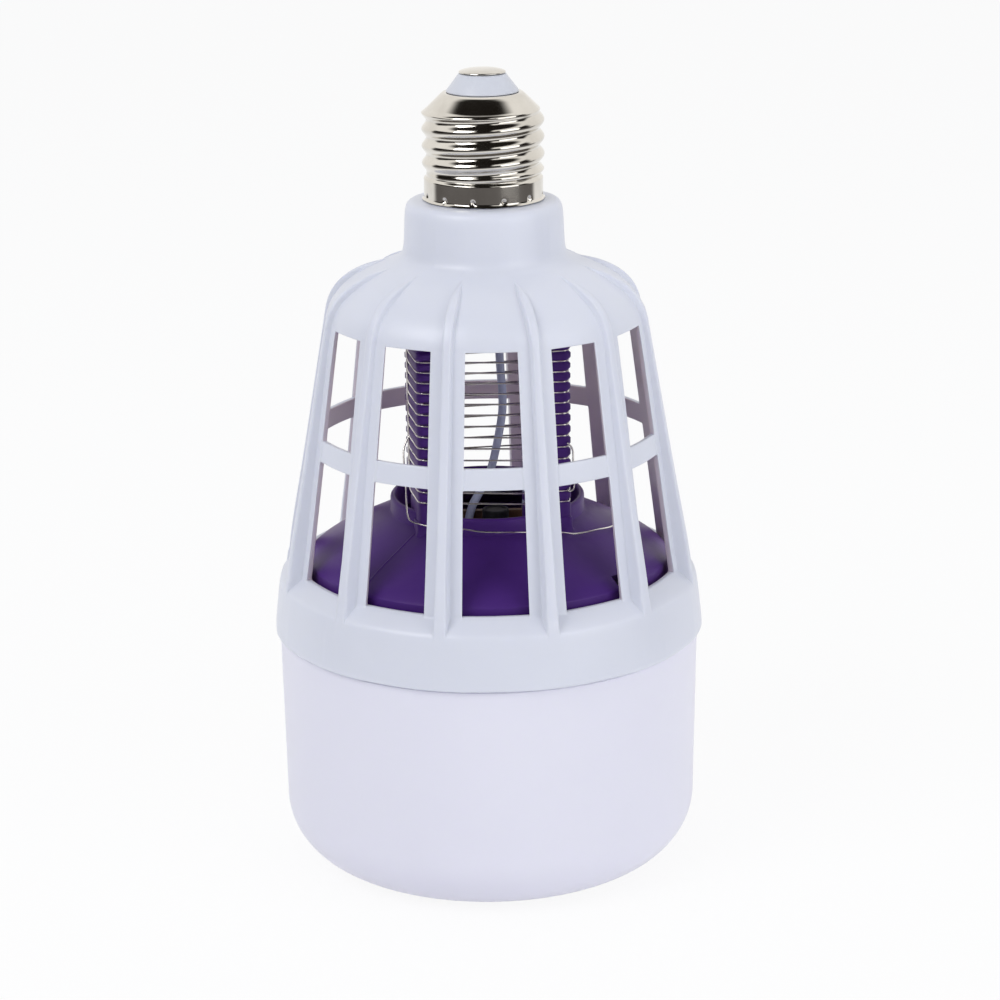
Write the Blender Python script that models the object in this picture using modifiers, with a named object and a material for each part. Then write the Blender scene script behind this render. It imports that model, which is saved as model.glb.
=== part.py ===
"""Insect killer light bulb: a screw-cap lamp whose white moulded cage guards a wire-wound high-voltage grid
on a violet base, with a lighting board and a milky diffuser underneath.

Frame: +Z up, origin at the centre of the diffuser's flat bottom, the middle of one window facing -Y.
"""

import math

import bmesh
import bpy
import numpy as np
from mathutils import Matrix, Vector

MM = 0.001
CLEARANCE = 0.3 * MM
TURN_STEPS = 36
SMALL_TURN_STEPS = 24
MERGE = 0.00001

# Diffuser: a milky cup with a flat bottom and a spigot that enters the cage's band
DIFFUSER_HEIGHT = 52.55 * MM
DIFFUSER_STEP = 1.25 * MM
DIFFUSER_DRAFT = 0.6 * MM
DIFFUSER_CORNER = 13.8 * MM
DIFFUSER_WALL = 1.4 * MM
SPIGOT_HEIGHT = 5.4 * MM

# Cage: one moulding from the band at its foot to the neck at its top
CAGE_WALL = 1.8 * MM
BAND_HEIGHT = 11.4 * MM
BAND_DRAFT = 1.25 * MM
SILL_RISE = 2.65 * MM
SILL_EDGE = 0.7 * MM
LOWER_WINDOW_HEIGHT = 26.1 * MM
MID_BAND_HEIGHT = 4.85 * MM
UPPER_WINDOW_HEIGHT = 23.45 * MM
LINTEL_HEIGHT = 0.9 * MM
CAGE_SILL_RADIUS = 42.12 * MM
SILL_WIDTH = 4.08 * MM
CAGE_TAPER = math.radians(7.95)
WINDOW_COUNT = 12
WINDOW_HALF_ANGLES = (math.radians(9.3), math.radians(9.3), math.radians(9.05), math.radians(8.75))
WINDOW_CORNER = 0.6 * MM
DOME_RISE = 11.65 * MM
DOME_BULGE_OUT = 1.5 * MM
DOME_BULGE_DOWN = 4.7 * MM
NECK_RADIUS = 17.3 * MM
NECK_TOP_RADIUS = 17.05 * MM
NECK_HEIGHT = 9.7 * MM
NECK_EDGE = 2.0 * MM
NECK_FILLET = 3.7 * MM
NECK_FILLET_SWEEP = math.radians(68)
CAP_SEAT_RADIUS = 11.6 * MM
CAP_SEAT_HEIGHT = 9.5 * MM

# Ribs: one on each bar, deepest at the foot, running out on the shoulder
RIB_PROUD_TOP = 1.2 * MM
RIB_PROUD_FOOT = 3.35 * MM
RIB_HALF_TOP = 0.85 * MM
RIB_HALF_FOOT = 1.35 * MM
RIB_DRAFT = 0.3 * MM
RIB_ROOT = 0.9 * MM
RIB_TIP_INSET = 1.6 * MM
RIB_TIP_SKIP = 0.07
RIB_DOME_LIFT = 1.6 * MM

# Screw cap, 27 mm Edison thread
THREAD_CREST_RADIUS = 13.05 * MM
THREAD_ROOT_RADIUS = 12.2 * MM
THREAD_PITCH = 3.629 * MM
THREAD_CREST_LEVEL = 15.75 * MM
SKIRT_RADIUS = 12.75 * MM
SKIRT_HEIGHT = 4.95 * MM
SHELL_HEIGHT = 22.95 * MM
SHELL_SHOULDER = 4.0 * MM
SHELL_MOUTH_RADIUS = 7.8 * MM
SHELL_RIM_FLARE = 0.5 * MM
SHELL_THICKNESS = 0.4 * MM
INSULATOR_TOP_RADIUS = 5.9 * MM
INSULATOR_RISE = 3.4 * MM
INSULATOR_FLANGE = 1.2 * MM
INSULATOR_PLUG_RADIUS = 7.2 * MM
CONTACT_RADIUS = 5.05 * MM
CONTACT_EDGE = 0.2 * MM
CONTACT_DOME = 0.7 * MM
CONTACT_FLAT_RADIUS = 1.6 * MM
CONTACT_PIN_RADIUS = 1.2 * MM
CONTACT_PIN_LENGTH = 7.0 * MM

# Violet base: shallow cone, lip just inside the sill, raised collar round the driver
BASE_WALL = 1.6 * MM
BASE_LIP_GAP = 0.62 * MM
BASE_LIP_RISE = 1.3 * MM
BASE_CONE_RISE = 8.1 * MM
COLLAR_OFFSET = 1.75 * MM
COLLAR_WALL = 1.4 * MM
COLLAR_HEIGHT = 5.7 * MM
COLLAR_FILLET = 1.1 * MM
SKIRT_INSET = 1.65 * MM
NOTCH_ANGLE = math.radians(45)
NOTCH_WIDTH = 9.2 * MM
NOTCH_DEPTH = 5.6 * MM
BOSS_COUNT = 3
BOSS_INSET = 5.2 * MM
BOSS_RADIUS = 3.0 * MM
BOSS_BORE_RADIUS = 1.6 * MM
BOSS_BORE_DEPTH = 7.5 * MM

# Grid frame: four notched posts on a top ring, and two interleaved steel windings
POST_LENGTH = 9.28 * MM
POST_THICKNESS = 3.4 * MM
POST_CIRCLE = 22.776 * MM
POST_BEARING = math.radians(-43.577)
POST_TILT = math.radians(11.2)
POST_COUNT = 4
GRID_PITCH = 2.375 * MM
GRID_LEVELS = 16
GRID_START = 1.93 * MM
GRID_STEPS = (0.15 * MM, -0.15 * MM, 0.75 * MM, 1.65 * MM)
WIRE_RADIUS = 0.2 * MM
TOOTH_HEIGHT = 0.9 * MM
GROOVE_HALF = 0.35 * MM
TOOTH_GAP_HALF = 0.75 * MM
LEG_RADIUS = 1.45 * MM
LEG_OFFSET = 0.274 * MM
LEG_BOSS_RADIUS = 2.0 * MM
LEG_BOSS_RISE = 1.2 * MM
LEG_BOSS_ROOT = 1.6 * MM
RING_THICKNESS = 2.4 * MM
RING_INNER_RADIUS = 12.0 * MM
RING_LIP = 0.824 * MM
RING_SPIGOT_RADIUS = 14.9 * MM
RING_SPIGOT_WALL = 1.6 * MM
RING_SPIGOT_HEIGHT = 8.0 * MM

# Heat plate, lighting board and their screws
PLATE_THICKNESS = 1.2 * MM
PLATE_RIM_HEIGHT = 2.6 * MM
PLATE_HOLE_RADIUS = 6.0 * MM
BOARD_GAP = 3.0 * MM
BOARD_THICKNESS = 1.2 * MM
BOARD_HOLE_RADIUS = 4.0 * MM
CHIP_COUNT = 12
CHIP_INSET = 7.0 * MM
CHIP_SIZE = (3.5 * MM, 2.8 * MM, 0.7 * MM)
SCREW_HEAD_RADIUS = 2.6 * MM
SCREW_HEAD_HEIGHT = 1.5 * MM
SCREW_SHANK_RADIUS = 1.25 * MM
SCREW_LENGTH = 9.0 * MM

# Ultraviolet ring board
UV_RING_GAP = 0.4 * MM
UV_RING_WIDTH = 4.0 * MM
UV_RING_THICKNESS = 1.2 * MM
UV_CHIP_COUNT = 6
UV_CHIP_SIZE = (3.0 * MM, 3.0 * MM, 1.2 * MM)

# Driver
DRIVER_HEIGHT = 20.5 * MM
DRIVER_THICKNESS = 1.6 * MM
DRIVER_Y = -4.0 * MM
CAPACITOR_RADIUS = 2.9 * MM
CAPACITOR_HEIGHT = 13.0 * MM
CAPACITOR_X = 1.5 * MM
TRANSFORMER_X = -5.5 * MM
FILM_CAPACITOR_X = 11.5 * MM
RECTIFIER_X = -12.5 * MM
CHOKE_X = 8.5 * MM
TRANSFORMER_SIZE = (13.0 * MM, 10.0 * MM, 12.0 * MM)
FILM_CAPACITOR_SIZE = (9.0 * MM, 5.0 * MM, 8.0 * MM)
RECTIFIER_SIZE = (6.0 * MM, 2.4 * MM, 4.5 * MM)
CHOKE_RADIUS = 3.6 * MM
CHOKE_LENGTH = 8.0 * MM
LEAD_RADIUS = 0.9 * MM

# Heights and radii that follow from the sizes above
Z_SEAM = DIFFUSER_HEIGHT + CLEARANCE
Z_SPIGOT_TOP = Z_SEAM + SPIGOT_HEIGHT
Z_CREASE = Z_SEAM + BAND_HEIGHT
Z_SILL = Z_CREASE + SILL_RISE
Z_LOWER_BOTTOM = Z_SILL + SILL_EDGE
Z_LOWER_TOP = Z_LOWER_BOTTOM + LOWER_WINDOW_HEIGHT
Z_UPPER_BOTTOM = Z_LOWER_TOP + MID_BAND_HEIGHT
Z_UPPER_TOP = Z_UPPER_BOTTOM + UPPER_WINDOW_HEIGHT
Z_DOME_EDGE = Z_UPPER_TOP + LINTEL_HEIGHT
Z_DOME_TOP = Z_DOME_EDGE + DOME_RISE
Z_NECK_FOOT = Z_DOME_TOP + NECK_FILLET * math.sin(NECK_FILLET_SWEEP)
Z_NECK_TOP = Z_NECK_FOOT + NECK_HEIGHT
Z_SHELL_RIM = Z_NECK_TOP + CLEARANCE
Z_SHELL_TOP = Z_SHELL_RIM + SHELL_HEIGHT
Z_INSULATOR_TOP = Z_SHELL_TOP + INSULATOR_RISE
Z_CONTACT_RIM = Z_INSULATOR_TOP + CLEARANCE
CREASE_RADIUS = CAGE_SILL_RADIUS + SILL_WIDTH
BAND_RADIUS = CREASE_RADIUS + BAND_DRAFT
DIFFUSER_TOP_RADIUS = BAND_RADIUS - DIFFUSER_STEP
DIFFUSER_FOOT_RADIUS = DIFFUSER_TOP_RADIUS - DIFFUSER_DRAFT
BAND_BORE = BAND_RADIUS - CAGE_WALL - 0.4 * MM
SPIGOT_RADIUS = BAND_BORE - CLEARANCE
PLATE_RADIUS = BAND_BORE - CLEARANCE
Z_PLATE = Z_SPIGOT_TOP + CLEARANCE
Z_PLATE_TOP = Z_PLATE + PLATE_THICKNESS
Z_BASE_FOOT = Z_PLATE_TOP + CLEARANCE
Z_LIP = Z_LOWER_BOTTOM + BASE_LIP_RISE
Z_COLLAR_FOOT = Z_LIP + BASE_CONE_RISE
Z_COLLAR_TOP = Z_COLLAR_FOOT + COLLAR_HEIGHT
Z_POST_FOOT = Z_COLLAR_TOP + CLEARANCE
Z_LEG_FOOT = Z_COLLAR_FOOT + LEG_BOSS_RISE + CLEARANCE
Z_GRID = Z_POST_FOOT + GRID_START
Z_RING = Z_GRID + GRID_LEVELS * GRID_PITCH + GRID_PITCH
Z_BOARD_TOP = Z_PLATE - CLEARANCE
Z_BOARD = Z_BOARD_TOP - BOARD_THICKNESS
LEG_CIRCLE = POST_CIRCLE + LEG_OFFSET
RING_OUTER_RADIUS = POST_CIRCLE + RING_LIP
COLLAR_RADIUS = LEG_CIRCLE - COLLAR_OFFSET
COLLAR_BORE = COLLAR_RADIUS - COLLAR_WALL
BASE_LIP_RADIUS = CAGE_SILL_RADIUS - CAGE_WALL - BASE_LIP_GAP
BOSS_CIRCLE = BASE_LIP_RADIUS - BOSS_INSET
BOARD_RADIUS = SPIGOT_RADIUS - DIFFUSER_WALL - BOARD_GAP
CHIP_CIRCLE = BOSS_CIRCLE - CHIP_INSET
UV_RING_INNER = COLLAR_BORE + UV_RING_GAP
UV_RING_OUTER = UV_RING_INNER + UV_RING_WIDTH
NECK_BORE = NECK_RADIUS - CAGE_WALL - 0.1 * MM


def cage_radius(z):
    """Radius of the window wall's outer face at a height."""
    return CAGE_SILL_RADIUS - (z - Z_LOWER_BOTTOM) * math.tan(CAGE_TAPER)


def arc(centre, radius, start, stop, count):
    """Points (r, z) on an arc, angles in degrees, both ends included."""
    angles = np.radians(np.linspace(start, stop, count))
    return [(centre[0] + radius * math.cos(a), centre[1] + radius * math.sin(a)) for a in angles]


def bend(start, control, end, count, skip=0.0):
    """Points (r, z) on a quadratic curve up to its end, from the share of it that is skipped."""
    points = []
    for u in np.linspace(skip, 1.0, count):
        r = (1 - u) ** 2 * start[0] + 2 * u * (1 - u) * control[0] + u * u * end[0]
        z = (1 - u) ** 2 * start[1] + 2 * u * (1 - u) * control[1] + u * u * end[1]
        points.append((r, z))
    return points


def clear_scene():
    for item in list(bpy.data.objects):
        bpy.data.objects.remove(item, do_unlink=True)


def make_collection(name):
    group = bpy.data.collections.new(name)
    bpy.context.scene.collection.children.link(group)
    return group


def material(name, colour, roughness, metallic=0.0, alpha=1.0):
    finish = bpy.data.materials.new(name)
    finish.use_nodes = True
    shader = finish.node_tree.nodes["Principled BSDF"]
    shader.inputs["Base Color"].default_value = (*colour, 1.0)
    shader.inputs["Roughness"].default_value = roughness
    shader.inputs["Metallic"].default_value = metallic
    shader.inputs["Alpha"].default_value = alpha
    return finish


def place(name, mesh, finish, group):
    piece = bpy.data.objects.new(name, mesh)
    group.objects.link(piece)
    if finish is not None:
        mesh.materials.append(finish)
    return piece


def profile_mesh(name, points, closed):
    """A wire outline in the XZ plane, ready for a Screw modifier."""
    count = len(points)
    edges = [(i, i + 1) for i in range(count - 1)]
    if closed:
        edges.append((count - 1, 0))
    mesh = bpy.data.meshes.new(name)
    mesh.from_pydata([(r, 0.0, z) for r, z in points], edges, [])
    return mesh


def turned(name, points, finish, group, closed, steps=TURN_STEPS):
    """A turned piece: the outline runs top to bottom on its outer side."""
    piece = place(name, profile_mesh(name, points, closed), finish, group)
    screw = piece.modifiers.new("Turn", "SCREW")
    screw.axis = "Z"
    screw.steps = steps
    screw.render_steps = steps
    screw.use_merge_vertices = True
    screw.merge_threshold = MERGE
    screw.use_smooth_shade = True
    return piece


def boolean(piece, tool, operation):
    modifier = piece.modifiers.new(tool.name, "BOOLEAN")
    modifier.operation = operation
    modifier.object = tool
    modifier.solver = "EXACT"


def as_tool(piece):
    piece.hide_render = True
    piece.display_type = "WIRE"
    return piece


def finished_mesh(bm, name):
    bmesh.ops.recalc_face_normals(bm, faces=bm.faces)
    mesh = bpy.data.meshes.new(name)
    bm.to_mesh(mesh)
    bm.free()
    return mesh


def cylinder_mesh(name, radius, low, high, spots, segments=SMALL_TURN_STEPS):
    """Upright cylinders of one radius at several (x, y) spots, as one mesh."""
    bm = bmesh.new()
    for x, y in spots:
        middle = Matrix.Translation((x, y, (low + high) / 2))
        bmesh.ops.create_cone(bm, cap_ends=True, segments=segments, radius1=radius, radius2=radius,
                              depth=high - low, matrix=middle)
    return finished_mesh(bm, name)


def box_piece(name, size, centre, finish, group, edge=0.0, turn=0.0):
    """A block with slightly rounded edges, turned about its own upright axis."""
    bm = bmesh.new()
    bmesh.ops.create_cube(bm, size=1.0)
    bmesh.ops.scale(bm, vec=Vector(size), verts=bm.verts)
    piece = place(name, finished_mesh(bm, name), finish, group)
    piece.location = centre
    piece.rotation_euler = (0.0, 0.0, turn)
    if edge:
        rounding = piece.modifiers.new("Edges", "BEVEL")
        rounding.width = edge
        rounding.segments = 1
    return piece


def spot(circle, angle):
    """A point (x, y) on a circle, the angle counted from -Y towards +X."""
    return circle * math.sin(angle), -circle * math.cos(angle)


def diffuser_profile():
    corner = (DIFFUSER_FOOT_RADIUS - DIFFUSER_CORNER, DIFFUSER_CORNER)
    inner_corner = DIFFUSER_CORNER - DIFFUSER_WALL
    inner = [(0.0, DIFFUSER_WALL)]
    inner += arc(corner, inner_corner, -90, 0, 4)
    inner.append((DIFFUSER_TOP_RADIUS - DIFFUSER_WALL, DIFFUSER_HEIGHT - 2 * DIFFUSER_WALL))
    rim = [(SPIGOT_RADIUS - DIFFUSER_WALL, DIFFUSER_HEIGHT)]
    rim.append((SPIGOT_RADIUS - DIFFUSER_WALL, Z_SPIGOT_TOP))
    rim.append((SPIGOT_RADIUS, Z_SPIGOT_TOP))
    rim.append((SPIGOT_RADIUS, DIFFUSER_HEIGHT))
    outer = [(DIFFUSER_TOP_RADIUS, DIFFUSER_HEIGHT)]
    outer += arc(corner, DIFFUSER_CORNER, 0, -90, 6)
    outer.append((0.0, 0.0))
    return inner + rim + outer


def neck_points():
    """Neck and its hollow fillet, top to bottom, ending at the dome's inner edge."""
    fillet_centre = (NECK_RADIUS + NECK_FILLET, Z_NECK_FOOT)
    sweep = math.degrees(NECK_FILLET_SWEEP)
    points = [(NECK_TOP_RADIUS - NECK_EDGE, Z_NECK_TOP)]
    points += arc((NECK_TOP_RADIUS - NECK_EDGE, Z_NECK_TOP - NECK_EDGE), NECK_EDGE, 60, 0, 3)
    points += arc(fillet_centre, NECK_FILLET, 180, 180 + sweep, 3)
    return points


def dome_points(inset, count, skip=0.0):
    """Shoulder from the neck's fillet out to the window wall, moved inwards by the inset."""
    start_r = NECK_RADIUS + NECK_FILLET * (1 - math.cos(NECK_FILLET_SWEEP))
    edge_r = cage_radius(Z_DOME_EDGE)
    start = (start_r, Z_DOME_TOP - inset)
    control = (edge_r - DOME_BULGE_OUT - inset, Z_DOME_TOP - DOME_BULGE_DOWN - inset)
    end = (edge_r - inset, Z_DOME_EDGE - 0.3 * inset)
    return bend(start, control, end, count, skip)


def cage_profile():
    outer = [(CAP_SEAT_RADIUS, Z_NECK_TOP + CAP_SEAT_HEIGHT), (CAP_SEAT_RADIUS, Z_NECK_TOP)]
    outer += neck_points()
    outer += dome_points(0.0, 6)[1:]
    outer.append((cage_radius(Z_SILL), Z_SILL))
    outer.append((CREASE_RADIUS - 0.4 * MM, Z_CREASE))
    outer.append((CREASE_RADIUS, Z_CREASE - 0.6 * MM))
    outer.append((BAND_RADIUS, Z_SEAM))
    inner = [(BAND_BORE, Z_SEAM), (BAND_BORE, Z_CREASE - CAGE_WALL)]
    inner.append((cage_radius(Z_SILL) - CAGE_WALL, Z_SILL - 0.8 * CAGE_WALL))
    inner += dome_points(CAGE_WALL, 4)[::-1]
    inner.append((NECK_BORE, Z_DOME_TOP + 0.5 * MM))
    inner.append((NECK_BORE, Z_NECK_TOP - CAGE_WALL))
    seat_bore = CAP_SEAT_RADIUS - CAGE_WALL
    inner.append((seat_bore, Z_NECK_TOP - CAGE_WALL))
    inner.append((seat_bore, Z_NECK_TOP + CAP_SEAT_HEIGHT))
    return outer + inner


def window_block(bm, angle, low, high, half_low, half_high):
    """A cutter for one window, its two sides parallel, its corners rounded."""
    block = bmesh.ops.create_cube(bm, size=1.0)["verts"]
    for vert in block:
        along, across, up = vert.co
        z = high if up > 0 else low
        half = half_high if up > 0 else half_low
        wall = cage_radius(z)
        radius = wall + 3 * CAGE_WALL if across > 0 else wall - 3 * CAGE_WALL
        x, y = spot(radius, angle + math.copysign(math.asin(wall * math.sin(half) / radius), along))
        vert.co = (x, y, z)
    edges = {edge for vert in block for edge in vert.link_edges}
    radial = [edge for edge in edges if abs(edge.verts[0].co.z - edge.verts[1].co.z) < 1e-7
              and abs(edge.verts[0].co.xy.length - edge.verts[1].co.xy.length) > CAGE_WALL]
    bmesh.ops.bevel(bm, geom=radial, offset=WINDOW_CORNER, segments=2, affect="EDGES", profile=0.5)


def window_cutters(group):
    bm = bmesh.new()
    for index in range(WINDOW_COUNT):
        angle = index * math.tau / WINDOW_COUNT
        window_block(bm, angle, Z_LOWER_BOTTOM, Z_LOWER_TOP, WINDOW_HALF_ANGLES[0], WINDOW_HALF_ANGLES[1])
        window_block(bm, angle, Z_UPPER_BOTTOM, Z_UPPER_TOP, WINDOW_HALF_ANGLES[2], WINDOW_HALF_ANGLES[3])
    return as_tool(place("window_cutters", finished_mesh(bm, "window_cutters"), None, group))


def rib_stations():
    """Crest and root points (r, z) and half widths of a rib, from its tip on the shoulder to the crease."""
    count = 6
    surface = dome_points(0.0, count, RIB_TIP_SKIP)
    edge_r, edge_z = surface[-1]
    control = (edge_r - DOME_BULGE_OUT + RIB_TIP_INSET, Z_DOME_TOP - DOME_BULGE_DOWN + RIB_DOME_LIFT)
    crest = bend(surface[0], control, (edge_r + RIB_PROUD_TOP, edge_z), count)
    root = [(r - RIB_ROOT, z - RIB_ROOT) for r, z in surface[:-1]] + [(edge_r - RIB_ROOT, edge_z)]
    halves = [RIB_HALF_TOP * min(1.0, 0.15 + 0.42 * i) for i in range(count)]
    crest.append((CAGE_SILL_RADIUS + RIB_PROUD_FOOT, Z_LOWER_BOTTOM))
    root.append((CAGE_SILL_RADIUS - RIB_ROOT, Z_LOWER_BOTTOM))
    crest.append((CREASE_RADIUS - 0.1 * MM, Z_CREASE + 0.1 * MM))
    root.append((CAGE_SILL_RADIUS + 0.3 * MM, Z_CREASE - 0.3 * MM))
    return zip(crest, root, halves + [RIB_HALF_FOOT, RIB_HALF_FOOT])


def rib_tools(group):
    """All ribs as one tool: lofts whose section widens from the tip to the foot."""
    stations = list(rib_stations())
    bm = bmesh.new()
    for index in range(WINDOW_COUNT):
        angle = (index + 0.5) * math.tau / WINDOW_COUNT
        out = Vector((math.sin(angle), -math.cos(angle), 0.0))
        side = Vector((math.cos(angle), math.sin(angle), 0.0))
        rings = []
        for (crest_r, crest_z), (root_r, root_z), half in stations:
            corners = [(root_r, root_z, -half - RIB_DRAFT), (crest_r, crest_z, -half),
                       (crest_r, crest_z, half), (root_r, root_z, half + RIB_DRAFT)]
            rings.append([bm.verts.new(out * r + side * s + Vector((0, 0, z))) for r, z, s in corners])
        for upper, lower in zip(rings[:-1], rings[1:]):
            for i in range(4):
                j = (i + 1) % 4
                bm.faces.new((upper[i], upper[j], lower[j], lower[i]))
        bm.faces.new(rings[0])
        bm.faces.new(rings[-1])
    return as_tool(place("cage_ribs", finished_mesh(bm, "cage_ribs"), None, group))


def cage_housing(finish, group, tools):
    cage = turned("cage_housing", cage_profile(), finish, group, closed=True)
    boolean(cage, window_cutters(tools), "DIFFERENCE")
    boolean(cage, rib_tools(tools), "UNION")
    return cage


def shell_profile():
    """Outline of the cap's shell before its thread is rolled, its inner side left plain."""
    shoulder_z = Z_SHELL_TOP - SHELL_SHOULDER
    rows = []
    slope = THREAD_ROOT_RADIUS - SHELL_MOUTH_RADIUS
    for share_r, share_z in ((0.0, 1.0), (0.2, 0.94), (0.93, 0.16), (1.0, 0.0)):
        rows.append((SHELL_MOUTH_RADIUS + slope * share_r, shoulder_z + SHELL_SHOULDER * share_z))
    skirt_top = Z_SHELL_RIM + SKIRT_HEIGHT
    rows += [(THREAD_ROOT_RADIUS, z) for z in np.linspace(shoulder_z, skirt_top, 17)[1:]]
    rows.append((SKIRT_RADIUS, skirt_top - 0.8 * MM))
    rows.append((SKIRT_RADIUS, Z_SHELL_RIM + 0.9 * MM))
    rows.append((SKIRT_RADIUS + SHELL_RIM_FLARE, Z_SHELL_RIM))
    inner = THREAD_ROOT_RADIUS - SHELL_THICKNESS
    rows.append((inner, Z_SHELL_RIM))
    rows.append((inner, shoulder_z))
    rows.append((0.5 * (inner + SHELL_MOUTH_RADIUS) + 0.5 * MM, Z_SHELL_TOP - 0.4 * SHELL_SHOULDER))
    rows.append((SHELL_MOUTH_RADIUS - SHELL_THICKNESS, Z_SHELL_TOP - 2 * SHELL_THICKNESS))
    rows.append((SHELL_MOUTH_RADIUS - SHELL_THICKNESS, Z_SHELL_TOP))
    return rows


def screw_shell(finish, group):
    """The nickelled shell, whose outer side is pushed out into a right-hand thread."""
    draft = turned("shell_draft", shell_profile(), None, group, closed=True, steps=SMALL_TURN_STEPS)
    view = bpy.context.evaluated_depsgraph_get()
    mesh = bpy.data.meshes.new_from_object(draft.evaluated_get(view))
    bpy.data.objects.remove(draft, do_unlink=True)
    mesh.name = "screw_shell"
    low = Z_SHELL_RIM + SKIRT_HEIGHT
    high = Z_SHELL_TOP - SHELL_SHOULDER
    crest = Z_SHELL_RIM + THREAD_CREST_LEVEL
    depth = THREAD_CREST_RADIUS - THREAD_ROOT_RADIUS
    fade = THREAD_PITCH / 3
    for vert in mesh.vertices:
        x, y, z = vert.co
        radius = math.hypot(x, y)
        if low < z < high and radius > THREAD_ROOT_RADIUS - SHELL_THICKNESS / 2:
            phase = (z - crest) / THREAD_PITCH - math.atan2(x, -y) / math.tau
            wave = 0.5 + 0.5 * math.cos(math.tau * phase)
            ends = min(1.0, (z - low) / fade, (high - z) / fade)
            push = 1 + depth * wave * ends / radius
            vert.co = (x * push, y * push, z)
    return place("screw_shell", mesh, finish, group)


def cap_insulator(finish, group):
    """Plug in the shell's mouth, with a tapered collar above and a bore for the contact's pin."""
    bore = CONTACT_PIN_RADIUS + CLEARANCE
    plug = SHELL_MOUTH_RADIUS - SHELL_THICKNESS - CLEARANCE
    points = [(INSULATOR_TOP_RADIUS, Z_INSULATOR_TOP)]
    points.append((SHELL_MOUTH_RADIUS, Z_SHELL_TOP + 1.5 * CLEARANCE))
    points.append((plug - CLEARANCE, Z_SHELL_TOP + CLEARANCE))
    points.append((plug - CLEARANCE, Z_SHELL_TOP - SHELL_SHOULDER))
    points.append((bore, Z_SHELL_TOP - SHELL_SHOULDER))
    points.append((bore, Z_INSULATOR_TOP))
    return turned("cap_insulator", points, finish, group, closed=True, steps=SMALL_TURN_STEPS)


def centre_contact(finish, group):
    """Domed button with a small flat on top and a pin that goes down through the insulator."""
    top = Z_CONTACT_RIM + CONTACT_EDGE + CONTACT_DOME
    points = [(0.0, top), (CONTACT_FLAT_RADIUS, top)]
    points += bend((CONTACT_FLAT_RADIUS, top), (0.8 * CONTACT_RADIUS, top - 0.1 * CONTACT_DOME),
                   (CONTACT_RADIUS, Z_CONTACT_RIM + CONTACT_EDGE), 4)[1:]
    points.append((CONTACT_RADIUS, Z_CONTACT_RIM))
    points.append((CONTACT_PIN_RADIUS, Z_CONTACT_RIM))
    points.append((CONTACT_PIN_RADIUS, Z_CONTACT_RIM - CONTACT_PIN_LENGTH))
    points.append((0.0, Z_CONTACT_RIM - CONTACT_PIN_LENGTH))
    return turned("centre_contact", points, finish, group, closed=False, steps=SMALL_TURN_STEPS)


def base_profile():
    """Collar, cone, lip and skirt of the violet base, outer side first."""
    middle = COLLAR_RADIUS - COLLAR_WALL / 2
    outer = arc((middle, Z_COLLAR_TOP - COLLAR_WALL / 2), COLLAR_WALL / 2, 180, 0, 3)
    outer.append((COLLAR_RADIUS, Z_COLLAR_FOOT + 0.6 * COLLAR_FILLET))
    outer.append((COLLAR_RADIUS + COLLAR_FILLET, Z_COLLAR_FOOT))
    outer.append((BASE_LIP_RADIUS - 0.3 * MM, Z_LIP + 0.1 * MM))
    outer.append((BASE_LIP_RADIUS, Z_LIP - 0.15 * MM))
    sill_bore = cage_radius(Z_SILL) - CAGE_WALL
    sill_foot = Z_SILL - 0.8 * CAGE_WALL
    fall = (Z_CREASE - CAGE_WALL - sill_foot) / (BAND_BORE - sill_bore)
    shoulder_z = sill_foot - 1.4 * CLEARANCE
    skirt = PLATE_RADIUS - SKIRT_INSET
    outer.append((BASE_LIP_RADIUS, shoulder_z))
    skirt_z = shoulder_z + (skirt - sill_bore) * fall
    outer.append((skirt, skirt_z))
    outer.append((skirt, Z_BASE_FOOT))
    inner_skirt = skirt - BASE_WALL
    inner = [(inner_skirt, Z_BASE_FOOT), (inner_skirt, skirt_z - BASE_WALL)]
    inner_lip = BASE_LIP_RADIUS - BASE_WALL
    inner.append((inner_lip, shoulder_z - BASE_WALL))
    inner.append((inner_lip, Z_LIP - 1.1 * BASE_WALL))
    inner.append((COLLAR_BORE, Z_COLLAR_FOOT - 0.8 * BASE_WALL))
    return outer + inner


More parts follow.
